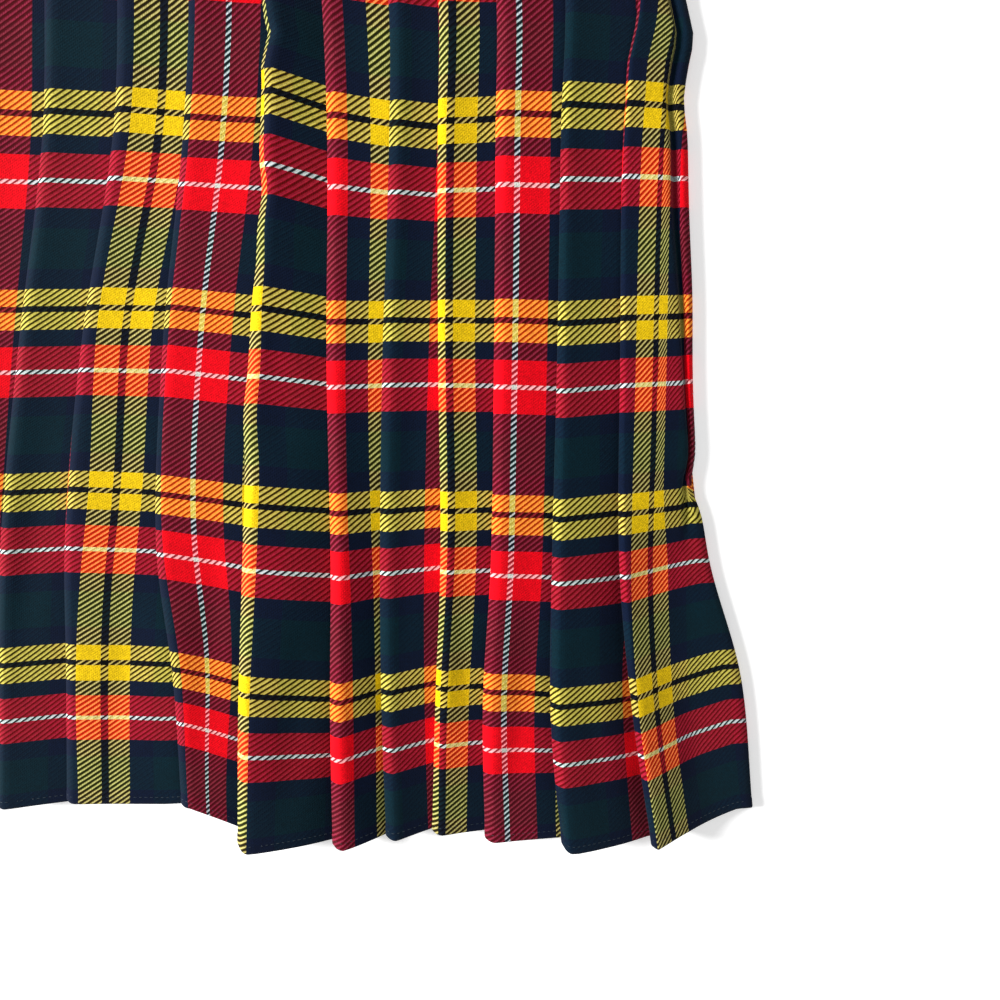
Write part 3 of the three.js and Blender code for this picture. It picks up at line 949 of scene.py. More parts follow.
@dataclass(frozen=True)
class TartanTwill:
    """Brushed wool in a 2/2 twill: its lines rise to the right as the warp and weft cross.

    Args:
        roughness: the surface's roughness.
        weft_shows: how much more of the weft shows than of the warp.
        line_threads: how many threads one twill line takes.
        line_sharpness: how hard the edge between warp and weft is.
        sheen: the sheen's weight.
        sheen_roughness: the sheen's roughness.
        gloss: the plain reflection's level.
        chroma_spread: how far the colours of warp and weft blend, as the eye sees them.
        darkest: the darkest colour that the cloth has.
        shade: its brightness before the yarns, ridges and fibres vary it.
        ridge_painted_shade: painted shade, lighter on the twill's ridges and darker between them.
        yarn_painted_shade: painted shade, lighter on each yarn's middle and darker at its round sides
            between yarns.
        fuzz: how much single fibres do.
        tuft_contrast: how much small tufts do.
        nap_contrast: how much the brushed nap does.
        wander: how far the twill's lines wander, in lines.
        relief_mm: the height of its relief.
    """

    roughness: float = 0.86
    weft_shows: float = 0.04
    line_threads: float = 4
    line_sharpness: float = 5.0
    sheen: float = 0.06
    sheen_roughness: float = 0.45
    gloss: float = 0.08
    chroma_spread: float = 0.92
    darkest: tuple[float, float, float] = (0.004, 0.004, 0.006)
    shade: float = 0.84
    ridge_painted_shade: float = 0.07
    yarn_painted_shade: float = 0.16
    fuzz: float = 0.55
    tuft_contrast: float = 0.35
    nap_contrast: float = 0.14
    wander: float = 0.12
    relief_mm: float = 0.13

    def material(self) -> bpy.types.Material:
        """Return the cloth's material."""
        g = Graph("tartan_twill")
        uv = g.node("ShaderNodeUVMap", {"uv_map": CLOTH_UV}).outputs[0]
        place = g.node("ShaderNodeTexCoord").outputs["Object"]
        parts = g.node("ShaderNodeSeparateXYZ", {}, {0: uv})
        warp, weft = Wire(g, parts.outputs[0]), Wire(g, parts.outputs[1])
        stops = Sett.stops()
        warp_colour = g.node("ShaderNodeValToRGB", {"stops": stops}, {0: warp.fraction()}).outputs[0]
        weft_colour = g.node("ShaderNodeValToRGB", {"stops": stops}, {0: weft.fraction()}).outputs[0]
        wobble = g.noise(place, 420.0, 1.0) * 0.9
        line = ((warp - weft) * (Sett.THREADS / self.line_threads) + wobble * self.wander).fraction()
        edge = (line - 0.5).absolute() - 0.25 - self.weft_shows
        on_top = (edge * self.line_sharpness + 0.5).clamped()
        woven = g.blend(on_top, weft_colour, warp_colour)
        even = g.blend(0.5 - 2 * self.weft_shows, weft_colour, warp_colour)
        brightness = (0.299, 0.587, 0.114)
        light = Wire(g, g.vector("DOT_PRODUCT", woven, brightness, output=1))
        light = light - Wire(g, g.vector("DOT_PRODUCT", even, brightness, output=1))
        spread = g.vector("ADD", even, g.grey(light))
        colour = g.vector("MAXIMUM", g.blend(self.chroma_spread, woven, spread), self.darkest)
        ridge = ((line * 2.0).fraction() - 0.5).absolute() * -2.0 + 1.0
        beside_warp = ((warp * Sett.THREADS).fraction() - 0.5).absolute()
        beside_weft = ((weft * Sett.THREADS).fraction() - 0.5).absolute()
        yarn = 1.0 - (beside_warp * on_top + beside_weft * (1 - on_top)) * 2.0
        fibres = g.noise(place, 1900.0, 2.0)
        tufts = g.noise(place, 700.0, 2.0)
        nap = g.noise(place, 60.0, 3.0)
        # Painted shade: lighter on the twill's ridges and the yarns' middles, darker between them; fibres,
        # tufts and nap below are random tone
        shade = self.shade + ridge * self.ridge_painted_shade + yarn * self.yarn_painted_shade
        shade = shade + (fibres - 0.5) * self.fuzz
        shade = shade + (tufts - 0.5) * self.tuft_contrast + (nap - 0.5) * self.nap_contrast
        colour = g.vector("MULTIPLY", colour, g.grey(shade))
        linear = g.node("ShaderNodeGamma", {}, {0: colour, 1: SCREEN_GAMMA}).outputs[0]
        height = ridge * 0.5 + yarn * 0.4 + fibres * 0.6
        relief = {"Height": height, "Distance": self.relief_mm * MM, "Strength": 0.8}
        bump = g.node("ShaderNodeBump", {}, relief)
        return g.surface({
            "Base Color": linear,
            "Roughness": self.roughness,
            "Sheen Weight": self.sheen,
            "Sheen Roughness": self.sheen_roughness,
            "Specular IOR Level": self.gloss,
            "Normal": bump.outputs[0],
        })


@dataclass(frozen=True)
class Thread:
    """Twisted sewing thread."""

    name: str
    colour: tuple[float, float, float]

    def material(self) -> bpy.types.Material:
        """Return the thread's material."""
        g = Graph(self.name)
        place = g.node("ShaderNodeTexCoord").outputs["Object"]
        twist = g.noise(place, 2600.0, 1.0)
        dark = tuple(0.55 * c for c in self.colour)
        colour = g.blend(twist, (*dark, 1.0), (*self.colour, 1.0))
        bump = g.node("ShaderNodeBump", {}, {"Height": twist, "Distance": 0.1 * MM, "Strength": 0.6})
        return g.surface({"Base Color": colour, "Roughness": 0.6, "Normal": bump.outputs[0]})


@dataclass(frozen=True)
class HornButton:
    """Dark brown horn-like stuff with soft streaks and a low polish."""

    dark: tuple[float, float, float, float] = (0.018, 0.010, 0.006, 1.0)
    pale: tuple[float, float, float, float] = (0.105, 0.052, 0.024, 1.0)

    def material(self) -> bpy.types.Material:
        """Return the button's material."""
        g = Graph("horn_button")
        place = g.node("ShaderNodeTexCoord").outputs["Object"]
        stretched = g.node("ShaderNodeMapping", {}, {"Vector": place, "Scale": (1.0, 4.0, 1.0)}).outputs[0]
        streak = g.noise(stretched, 160.0, 4.0)
        colour = g.blend(streak, self.dark, self.pale)
        roughness = 0.22 + streak * 0.18
        bump = g.node("ShaderNodeBump", {}, {"Height": streak, "Distance": 0.05 * MM, "Strength": 0.4})
        return g.surface({
            "Base Color": colour,
            "Roughness": roughness,
            "Coat Weight": 0.3,
            "Normal": bump.outputs[0],
        })


@dataclass(frozen=True)
class Floor:
    """Plain pale floor paper.

    Args:
        shade: its colour's brightness.
        grain: how much that varies.
        glow: how much light of its own it adds, as a cut-out's white ground has.
    """

    shade: float = 0.86
    grain: float = 0.01
    glow: float = 0.4

    def material(self) -> bpy.types.Material:
        """Return the floor's material."""
        g = Graph("floor_paper")
        place = g.node("ShaderNodeTexCoord").outputs["Object"]
        grain = g.noise(place, 30.0, 2.0)
        low = (self.shade - self.grain,) * 3
        high = (self.shade,) * 3
        colour = g.blend(grain, (*low, 1.0), (*high, 1.0))
        return g.surface({
            "Base Color": colour,
            "Roughness": 0.9,
            "Specular IOR Level": 0.1,
            "Emission Color": (1.0, 1.0, 1.0, 1.0),
            "Emission Strength": self.glow,
        })


@dataclass
class Finishes:
    """The materials, made once each."""

    tartan: bpy.types.Material = field(default_factory=lambda: TartanTwill().material())
    hem_thread: bpy.types.Material = field(
        default_factory=lambda: Thread("hem_thread", (0.03, 0.05, 0.06)).material()
    )
    band_thread: bpy.types.Material = field(
        default_factory=lambda: Thread("band_thread", (0.02, 0.035, 0.05)).material()
    )
    button: bpy.types.Material = field(default_factory=lambda: HornButton().material())


def dress(obj: bpy.types.Object, material: bpy.types.Material, node: str | None) -> bpy.types.Object:
    """Give a finished piece its material in a slot and its body, and hide the frame's node that it replaces.

    Args:
        obj: the piece.
        material: its material.
        node: the frame's node that it replaces, if any.

    Returns:
        The same piece.
    """
    obj.data.materials.clear()
    obj.data.materials.append(material)
    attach(obj, BODY)
    if node:
        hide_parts(node)
    LOG.info("%s: %d faces", obj.name, len(obj.data.polygons))
    return obj


def rounded_edge(share: float) -> float:
    """Return a wall's thickness at a share of the way into its rounded edge, against the full one."""
    thinnest = 0.06
    return math.sqrt(max(1 - (1 - share) ** 2, thinnest))


def weft_repeat(height: float) -> float:
    """Return the weft place at a height above the hem, in repeats."""
    return (Sett.HEM_THREAD + height / Sett.WEFT_MM) / Sett.THREADS


@dataclass
class PleatedBack:
    """The pleated cloth from side seam to side seam.

    Args:
        form: how it lies.
        ground: where it lies.
        half: half its cloth's thickness, in millimetres.
        hem_half: the same across the turned hem.
        hem: the turned hem's height.
        hem_edge: how far up the hem's edge is rounded.
        fine_below: the height below which the rings lie closer together.
        ring_step: how far apart they lie there.
    """

    form: SkirtForm
    ground: Ground
    half: float = 0.5
    hem_half: float = 0.7
    hem: float = 7.0
    hem_edge: float = 1.4
    fine_below: float = 260
    ring_step: float = 6.5

    def heights(self) -> np.ndarray:
        """Return the heights of the rings, closer together round the hem's edge."""
        hem = [0, 0.25, 0.7, self.hem_edge, 4, self.hem - 0.6, self.hem + 0.4]
        low = np.arange(self.hem + 6, self.fine_below, self.ring_step)
        high = np.linspace(self.fine_below, self.form.top, 48)
        return np.concatenate([hem, low, high])

    def half_at(self, height: float) -> float:
        """Return half the wall's thickness at a height."""
        if height < self.hem_edge:
            return self.hem_half * rounded_edge(height / self.hem_edge)
        return mix(self.hem_half, self.half, ease(self.hem - 0.7, self.hem + 0.5, height))

    def build(self, finishes: Finishes) -> bpy.types.Object:
        """Build and dress the cloth.

        Args:
            finishes: the skirt's materials.

        Returns:
            The dressed object.
        """
        rings, cloth = [], []
        for height in self.heights():
            path = self.form.path(height)
            sides = Shell.sides(path[:, [X, Z]], np.full(len(path), self.half_at(height)))
            there_and_back = np.concatenate([path, path[::-1]])
            y = height + there_and_back[:, LIFT]
            rings.append(np.stack([sides[:, 0], y, sides[:, 1]], axis=1))
            weft = np.full(len(sides), weft_repeat(height))
            cloth.append(np.stack([there_and_back[:, WARP] / Sett.THREADS, weft], axis=1))
        obj = Shell.mesh("pleated_cloth", self.ground.place(np.array(rings)), np.array(cloth))
        dress(obj, finishes.tartan, "pleated_back")
        width = float(self.form.run(self.form.path(0)[:, [X, Z]])[-1])
        LOG.info("pleated cloth is %.0f mm wide, cut flat", width)
        (self.form.top + self.hem) * MM
        return obj


class Apron(Enum):
    """Which of the two flat aprons a piece is."""

    OVER = "over_apron"
    UNDER = "under_apron"


@dataclass
class FlatApron:
    """One flat apron under the pleats.

    Args:
        form: the pleats' form, whose outline it follows.
        ground: where it lies.
        which: the over or the under apron.
        free_inset: how far its free edge stays inside the skirt's side.
        half: half its cloth's thickness, in millimetres.
        hem_half: the same across its hem.
        hem: the hem's height.
        hem_edge: how far up the hem's edge is rounded.
        edge_thins: how thick its side edges are, against the rest.
        tuck: how far its hem is drawn up behind the pleats' hem.
        tuck_grows_over: how far from the side that is fully so.
        seam_gap: how far from the pleats' roll its joined edge lies.
        seam_threads: how many threads lie between the outermost fold and its edge.
        area_share: its area against its widest width times its length.
    """

    form: SkirtForm
    ground: Ground
    which: Apron
    free_inset: float
    half: float = 0.5
    hem_half: float = 0.6
    hem: float = 7.0
    hem_edge: float = 1.5
    edge_thins: float = 0.45
    tuck: float = 8.0
    tuck_grows_over: float = 40.0
    seam_gap: float = 0.3
    seam_threads: float = 90.0
    area_share: float = 0.88

    def build(self, finishes: Finishes) -> bpy.types.Object:
        """Build and dress the apron.

        Args:
            finishes: the skirt's materials.

        Returns:
            The dressed object.
        """
        form, over = self.form, self.which is Apron.OVER
        z = form.over_z if over else form.under_z
        joined = form.side_roll + self.seam_gap
        left, right = (joined, self.free_inset) if over else (self.free_inset, joined)
        thread = PLEATS[0].cloth - self.seam_threads if over else PLEATS[-1].cloth + self.seam_threads
        hem = [0, 0.3, 0.8, self.hem_edge, self.hem - 0.5, self.hem + 0.5]
        rings, cloth, widths = [], [], []
        for height in [*hem, *np.linspace(15, form.top, 60)]:
            edge = form.edge(height)
            x = np.linspace(-edge + left, edge - right, 81)
            half = self.hem_half if height < self.hem else self.half
            if height < self.hem_edge:
                half *= rounded_edge(height / self.hem_edge)
            lift = np.array([form.hem_lift(a) for a in x])
            inside = edge - np.abs(x) - form.side_roll
            lift += self.tuck * np.minimum(inside / self.tuck_grows_over, 1)
            thick = np.full(len(x), half)
            thick[[0, -1]] *= self.edge_thins
            sides = Shell.sides(np.stack([x, np.full(len(x), z)], axis=1), thick)
            y = height + np.concatenate([lift, lift[::-1]]) * form.lift_share(height)
            rings.append(np.stack([sides[:, 0], y, sides[:, 1]], axis=1))
            warp = thread - (x + edge if over else x - edge) / Sett.WARP_MM
            warp = np.concatenate([warp, warp[::-1]]) / Sett.THREADS
            cloth.append(np.stack([warp, np.full(len(sides), weft_repeat(height))], axis=1))
            widths.append(x[-1] - x[0])
        obj = Shell.mesh(f"{self.which.value}_cloth", self.ground.place(np.array(rings)), np.array(cloth))
        dress(obj, finishes.tartan, self.which.value)
        wide, tall = max(widths) * MM, form.top * MM
        self.area_share * wide * tall
        return obj


@dataclass
class Waistband:
    """The folded strip round the top edge, and the tab that closes it.

    Args:
        form: the pleats' form.
        ground: where it lies.
        low: the band's lower edge over the pleats' tops, from the seam.
        height: its height above the seam.
        stuffed: half its thickness where it holds the pleats' tops.
        cloth: half its thickness elsewhere.
        over_z: the middle of its outer stretch at the front, above the floor.
        under_z: the same for the inner stretch.
        back_z: the same for the stretch on the back.
        turn_z: how high its turns at the sides rise.
        tab_height: the tab's height.
        tab_reach: how far the tab reaches onto the back.
        tab_point: how far its rounded end reaches.
        tab_outside: how far it stands out round the side.
        tab_gap: the space between the tab and the band.
    """

    form: SkirtForm
    ground: Ground
    low: float = -1.6
    height: float = 38.3
    stuffed: float = 3.3
    cloth: float = 1.0
    over_z: float = 1.0
    under_z: float = 3.3
    back_z: float = 7.9
    turn_z: float = 7.0
    tab_height: float = 26.0
    tab_reach: float = 62.0
    tab_point: float = 9.0
    tab_outside: float = 3.6
    tab_gap: float = 0.3

    @property
    def back_top(self) -> float:
        """Return the height of the band's upper face at the back."""
        return self.back_z + self.stuffed

    @property
    def middle_y(self) -> float:
        """Return the height of the band's middle line above the hem."""
        seam_gap, band_half = 0.3, 19.0
        return self.form.top + seam_gap + band_half

    @staticmethod
    def rounded(points: np.ndarray, steps: int) -> np.ndarray:
        """Return a path of columns as a smooth curve through its points, evenly parted.

        Args:
            points: the path's rows.
            steps: how many rows to return.

        Returns:
            The smoothed rows.
        """
        run = SkirtForm.run(points[:, :2])
        dense = np.linspace(0, run[-1], steps)
        even = np.stack([np.interp(dense, run, points[:, c]) for c in range(points.shape[1])], axis=1)
        rounds = 6
        for _ in range(rounds):
            even[1:-1] = (even[:-2] + 2 * even[1:-1] + even[2:]) / 4
        return even

    def band_path(self) -> np.ndarray:
        """Return the band's turn and a half, as x, z and half its thickness."""
        edge = self.form.half_width[-1]
        return np.array([
            (-edge + 25, self.under_z, self.cloth),
            (edge - 9, self.under_z, self.cloth),
            (edge - 3, self.under_z + 0.3, self.cloth),
            (edge - 1.2, (self.under_z + self.turn_z) / 2, self.cloth),
            (edge - 3, self.turn_z, self.cloth),
            (edge - 9, self.turn_z + 0.2, self.cloth * 1.2),
            (edge - 24, self.back_z, self.stuffed),
            (-edge + 24, self.back_z, self.stuffed),
            (-edge + 9, self.turn_z + 0.2, self.cloth * 1.2),
            (-edge + 3, self.turn_z - 0.8, self.cloth),
            (-edge + 1.2, (self.over_z + self.turn_z) / 2, self.cloth),
            (-edge + 3, self.over_z + 0.5, self.cloth),
            (-edge + 9, self.over_z, self.cloth),
            (edge - 14, self.over_z, self.cloth),
        ])

    def build_band(self, finishes: Finishes) -> bpy.types.Object:
        """Build and dress the band.

        Args:
            finishes: the skirt's materials.

        Returns:
            The dressed object.
        """
        path = self.band_path()
        run = SkirtForm.run(path[:, :2])
        short, few, many = 20, 4, 90
        turns = [np.linspace(a, b, few if b - a < short else many)[:-1] for a, b in zip(run, run[1:])]
        at = np.concatenate([*turns, run[-1:]])
        fine = np.stack([np.interp(at, run, path[:, c]) for c in range(3)], axis=1)
        rings, cloth = [], []
        first_thread = PLEATS[0].cloth + 40
        turned_in = 4
        seam = self.form.top
        edges = [(0, 0.35), (0.35, 0.7), (1.0, 0.92), (2.0, 1.0)]
        span = self.height - self.low
        heights = edges + [(t, 1.0) for t in np.linspace(4, span - 4, 14)]
        heights += [(span - d, s) for d, s in edges[::-1]]
        bulge = 0.05
        most = np.where(fine[:, 2] > 1.3, 3.6, 1.0)
        for rise, share in heights:
            pillow = 1 + bulge * math.sin(math.pi * rise / span)
            half = np.minimum(fine[:, 2] * share * pillow, most)
            sides = Shell.sides(fine[:, :2], half)
            y = np.full(len(sides), seam + self.low + rise)
            rings.append(np.stack([sides[:, 0], y, sides[:, 1]], axis=1))
            warp = (first_thread + np.concatenate([at, at[::-1]])) / Sett.THREADS
            cloth.append(np.stack([warp, np.full(len(sides), weft_repeat(seam + rise))], axis=1))
        obj = Shell.mesh("waistband_cloth", self.ground.place(np.array(rings)), np.array(cloth))
        dress(obj, finishes.tartan, "waistband")
        (span + turned_in) * MM
        return obj

    def tab_path(self) -> np.ndarray:
        """Return the tab's way from the over apron round the right side onto the back."""
        edge = self.form.half_width[-1]
        top = self.back_top + self.tab_gap + self.cloth
        side = edge + self.tab_outside
        return np.array([
            (edge - 13.7, self.over_z),
            (side - 3, self.over_z),
            (side - 0.8, self.over_z + 1.2),
            (side, self.over_z + 4),
            (side - 1.2, top - 2.4),
            (side - 5, top - 0.2),
            (edge - 9, top),
            (edge - self.tab_reach + self.tab_point, top),
        ])

    def build_tab(self, finishes: Finishes) -> bpy.types.Object:
        """Build and dress the tab with its rounded end.

        Args:
            finishes: the skirt's materials.

        Returns:
            The dressed object.
        """
        path = self.tab_path()
        rings, cloth = [], []
        first_thread, threads = 400, self.tab_reach + 30
        steps = np.sin(np.linspace(-math.pi / 2, math.pi / 2, 25))
        for t in steps:
            reach = self.tab_point * math.sqrt(max(1 - t * t, 0.02))
            whole = np.concatenate([path, [[path[-1, 0] - reach, path[-1, 1]]]])
            fine = self.rounded(whole, 110)
            edge_thinness = math.sqrt(max(1 - abs(t) ** 14, 0.15))
            half = np.full(len(fine), self.cloth * edge_thinness)
            half[[0, -1]] *= 0.4
            half[[1, -2]] *= 0.8
            sides = Shell.sides(fine, half)
            up = t * self.tab_height / 2
            y = np.full(len(sides), self.middle_y + up)
            rings.append(np.stack([sides[:, 0], y, sides[:, 1]], axis=1))
            run = np.linspace(0, threads, len(fine))
            warp = (first_thread + np.concatenate([run, run[::-1]])) / Sett.THREADS
            cloth.append(np.stack([warp, np.full(len(sides), weft_repeat(self.form.top + up))], axis=1))
        obj = Shell.mesh("button_tab_cloth", self.ground.place(np.array(rings)), np.array(cloth))
        dress(obj, finishes.tartan, "button_tab")
        length = float(np.linalg.norm(np.diff(path, axis=0), axis=1).sum()) + self.tab_point
        length * MM
        self.tab_height * MM
        return obj


@dataclass
class Button:
    """A four-hole button sewn through the tab.

    Args:
        band: the waistband that it closes.
        ground: where it lies.
        radius: its radius.
        thick: its thickness.
        rim: the width of its rim.
        dish: how deep its dished middle lies.
        hole: the radius of its holes.
        spread: how far apart their middles are.
        inset: how far its middle lies from the waist's right end.
        sides: how many sides its turned outline has.
    """

    band: Waistband
    ground: Ground
    radius: float = 9.0
    thick: float = 3.2
    rim: float = 1.6
    dish: float = 1.0
    hole: float = 1.1
    spread: float = 2.6
    inset: float = 48.0
    sides: int = 72

    @property
    def seat(self) -> Vector:
        """Return the middle of the button's back, in millimetres."""
        x = self.band.form.half_width[-1] - self.inset
        tab_top = self.band.back_top + 2 * (self.band.tab_gap + self.band.cloth)
        return Vector((x, self.band.middle_y, tab_top))

    def _disc(self) -> bpy.types.Object:
        """Return the turned disc without its holes, in its own millimetres."""
        r, t = self.radius, self.thick
        inner, floor = r - self.rim, t - self.dish
        back = [(0, 0), (r - 1.2, 0), (r - 0.5, 0.2), (r - 0.1, 0.7), (r, 1.3)]
        rim = [(r, t - 1.0), (r - 0.15, t - 0.4), (r - 0.6, t - 0.08), (r - 1.0, t), (inner, t - 0.12)]
        dish = [(inner - 0.6, t - 0.5), (inner - 1.3, floor + 0.1), (inner - 2.2, floor), (0, floor)]
        work = bmesh.new()
        points = [work.verts.new((a, 0, b)) for a, b in back + rim + dish]
        edges = [work.edges.new(pair) for pair in zip(points, points[1:])]
        bmesh.ops.spin(work, geom=points + edges, angle=2 * math.pi, steps=self.sides,
                       axis=(0, 0, 1), cent=(0, 0, 0))
        bmesh.ops.remove_doubles(work, verts=work.verts, dist=1e-4)
        bmesh.ops.recalc_face_normals(work, faces=work.faces)
        return self._object("button_disc", work)

    @staticmethod
    def _object(name: str, work: bmesh.types.BMesh) -> bpy.types.Object:
        """Return an object made from a bmesh, which is freed.

        Args:
            name: the object's name.
            work: the bmesh.

        Returns:
            The object, linked to the scene.
        """
        data = bpy.data.meshes.new(name)
        work.to_mesh(data)
        work.free()
        obj = bpy.data.objects.new(name, data)
        bpy.context.scene.collection.objects.link(obj)
        return obj

    def _holes(self) -> list[tuple[float, float]]:
        """Return the middles of the four holes."""
        s = self.spread / 2
        return [(-s, -s), (s, -s), (s, s), (-s, s)]

    def build(self, finishes: Finishes) -> bpy.types.Object:
        """Build and dress the button.

        Args:
            finishes: the skirt's materials.

        Returns:
            The dressed object.
        """
        disc = self._disc()
        drills = bmesh.new()
        for x, y in self._holes():
            bmesh.ops.create_cone(drills, cap_ends=True, segments=20, radius1=self.hole, radius2=self.hole,
                                  depth=4 * self.thick, matrix=Matrix.Translation((x, y, 0)))
        cutter = self._object("button_drills", drills)
        cut = disc.modifiers.new("holes", "BOOLEAN")
        cut.operation = "DIFFERENCE"
        cut.solver = "EXACT"
        cut.object = cutter
        whole = bpy.data.meshes.new_from_object(disc.evaluated_get(bpy.context.evaluated_depsgraph_get()))
        whole.name = "button_body"
        for spent in (disc, cutter):
            bpy.data.objects.remove(spent)
        seat = np.array(self.seat)
        origin = self.ground.place(seat[None])[0]
        whole.transform(Matrix.Translation(origin) @ Matrix.Scale(MM, 4))
        whole.shade_smooth()
        obj = bpy.data.objects.new("button_body", whole)
        bpy.context.scene.collection.objects.link(obj)
        sharpest = 40
        obj.data.set_sharp_from_angle(angle=math.radians(sharpest))
        return dress(obj, finishes.button, "button")

    def thread_paths(self) -> list[np.ndarray]:
        """Return the crossed threads over the button's middle, in millimetres."""
        seat, level = np.array(self.seat), self.thick - self.dish
        paths = []
        for start, end in ((0, 2), (1, 3)):
            a, b = (np.array((*self._holes()[k], 0.0)) for k in (start, end))
            for side in (-0.35, 0.0, 0.35):
                t = np.linspace(0, 1, 15)[:, None]
                line = a + (b - a) * t
                across = np.cross((b - a) / np.linalg.norm(b - a), (0, 0, 1)) * side
                rise = np.sin(math.pi * t[:, 0]) ** 0.5 * 0.9 - 0.5 + (0.25 if start else 0.0)
                line = line + across + np.stack([0 * rise, 0 * rise, level + rise], axis=1)
                paths.append(line + seat)
        return paths


class StitchTree:
    """A Geometry Nodes tree that lays short stitches along the edges of a mesh."""

    SEED: int = 4

    def __init__(self, name: str, material: bpy.types.Material) -> None:
        """Build the tree.

        Args:
            name: the tree's name.
            material: the thread's material.
        """
        self.tree = bpy.data.node_groups.new(name, "GeometryNodeTree")
        face = self.tree.interface
        face.new_socket("Geometry", in_out="INPUT", socket_type="NodeSocketGeometry")
        for label, value in (("Pitch", 0.003), ("Length", 0.002), ("Radius", 0.0002)):
            socket = face.new_socket(label, in_out="INPUT", socket_type="NodeSocketFloat")
            socket.default_value = value
        face.new_socket("Geometry", in_out="OUTPUT", socket_type="NodeSocketGeometry")
        start = self._add("NodeGroupInput")
        curve = self._add("GeometryNodeMeshToCurve", {}, {0: start.outputs["Geometry"]})
        even = self._add("GeometryNodeResampleCurve", {"mode": "LENGTH"}, {0: curve.outputs[0]})
        self.tree.links.new(start.outputs["Pitch"], even.inputs["Length"])
        ball = self._add("GeometryNodeMeshUVSphere", {}, {"Segments": 6, "Rings": 4, "Radius": 1.0})
        soft = self._add("GeometryNodeSetShadeSmooth", {}, {0: ball.outputs[0]})
        long = self._add("ShaderNodeCombineXYZ", {}, {
            0: start.outputs["Radius"], 1: start.outputs["Radius"], 2: start.outputs["Length"]})
        tangent = self._add("GeometryNodeInputTangent")
        turn = self._add("FunctionNodeAlignRotationToVector", {"axis": "Z"}, {"Vector": tangent.outputs[0]})
        jitter = self._add("FunctionNodeRandomValue", {"data_type": "FLOAT_VECTOR"}, {
            "Min": (0.85, 0.85, 0.8), "Max": (1.1, 1.1, 1.1), "Seed": self.SEED})
        size = self._add("ShaderNodeVectorMath", {"operation": "MULTIPLY"}, {
            0: long.outputs[0], 1: jitter.outputs[0]})
        laid = self._add("GeometryNodeInstanceOnPoints", {}, {
            "Points": even.outputs[0], "Instance": soft.outputs[0], "Rotation": turn.outputs[0],
            "Scale": size.outputs[0]})
        real = self._add("GeometryNodeRealizeInstances", {}, {0: laid.outputs[0]})
        coloured = self._add("GeometryNodeSetMaterial", {}, {0: real.outputs[0], "Material": material})
        end = self._add("NodeGroupOutput")
        self.tree.links.new(coloured.outputs[0], end.inputs[0])

    def _add(self, kind: str, settings: dict | None = None, inputs: dict | None = None) -> bpy.types.Node:
        """Add one node with its settings and inputs.

        Args:
            kind: the node's type.
            settings: its properties by name.
            inputs: a value or an output for each input, by name or number.

        Returns:
            The node.
        """
        made = self.tree.nodes.new(kind)
        for name, value in (settings or {}).items():
            setattr(made, name, value)
        for name, value in (inputs or {}).items():
            if isinstance(value, bpy.types.NodeSocket):
                self.tree.links.new(value, made.inputs[name])
            else:
                made.inputs[name].default_value = value
        return made

    def sew(self, name: str, paths: Sequence[np.ndarray], sizes: dict[str, float]) -> bpy.types.Object:
        """Lay stitches along some paths.

        Args:
            name: the piece's name.
            paths: each path's points, in metres in the frame.
            sizes: the tree's named inputs, in metres.

        Returns:
            A plain mesh object.
        """
        data = bpy.data.meshes.new(name)
        points, edges = [], []
        for path in paths:
            first = len(points)
            points.extend(path.tolist())
            edges.extend((first + k, first + k + 1) for k in range(len(path) - 1))
        data.from_pydata(points, edges, [])
        guide = bpy.data.objects.new(f"{name}_guide", data)
        bpy.context.scene.collection.objects.link(guide)
        laid = guide.modifiers.new("stitches", "NODES")
        laid.node_group = self.tree
        sockets = {s.name: s.identifier for s in self.tree.interface.items_tree if s.in_out == "INPUT"}
        for label, value in sizes.items():
            laid[sockets[label]] = value
        graph = bpy.context.evaluated_depsgraph_get()
        mesh = bpy.data.meshes.new_from_object(guide.evaluated_get(graph))
        mesh.name = name
        guide.modifiers.clear()
        bpy.data.objects.remove(guide)
        obj = bpy.data.objects.new(name, mesh)
        bpy.context.scene.collection.objects.link(obj)
        return obj


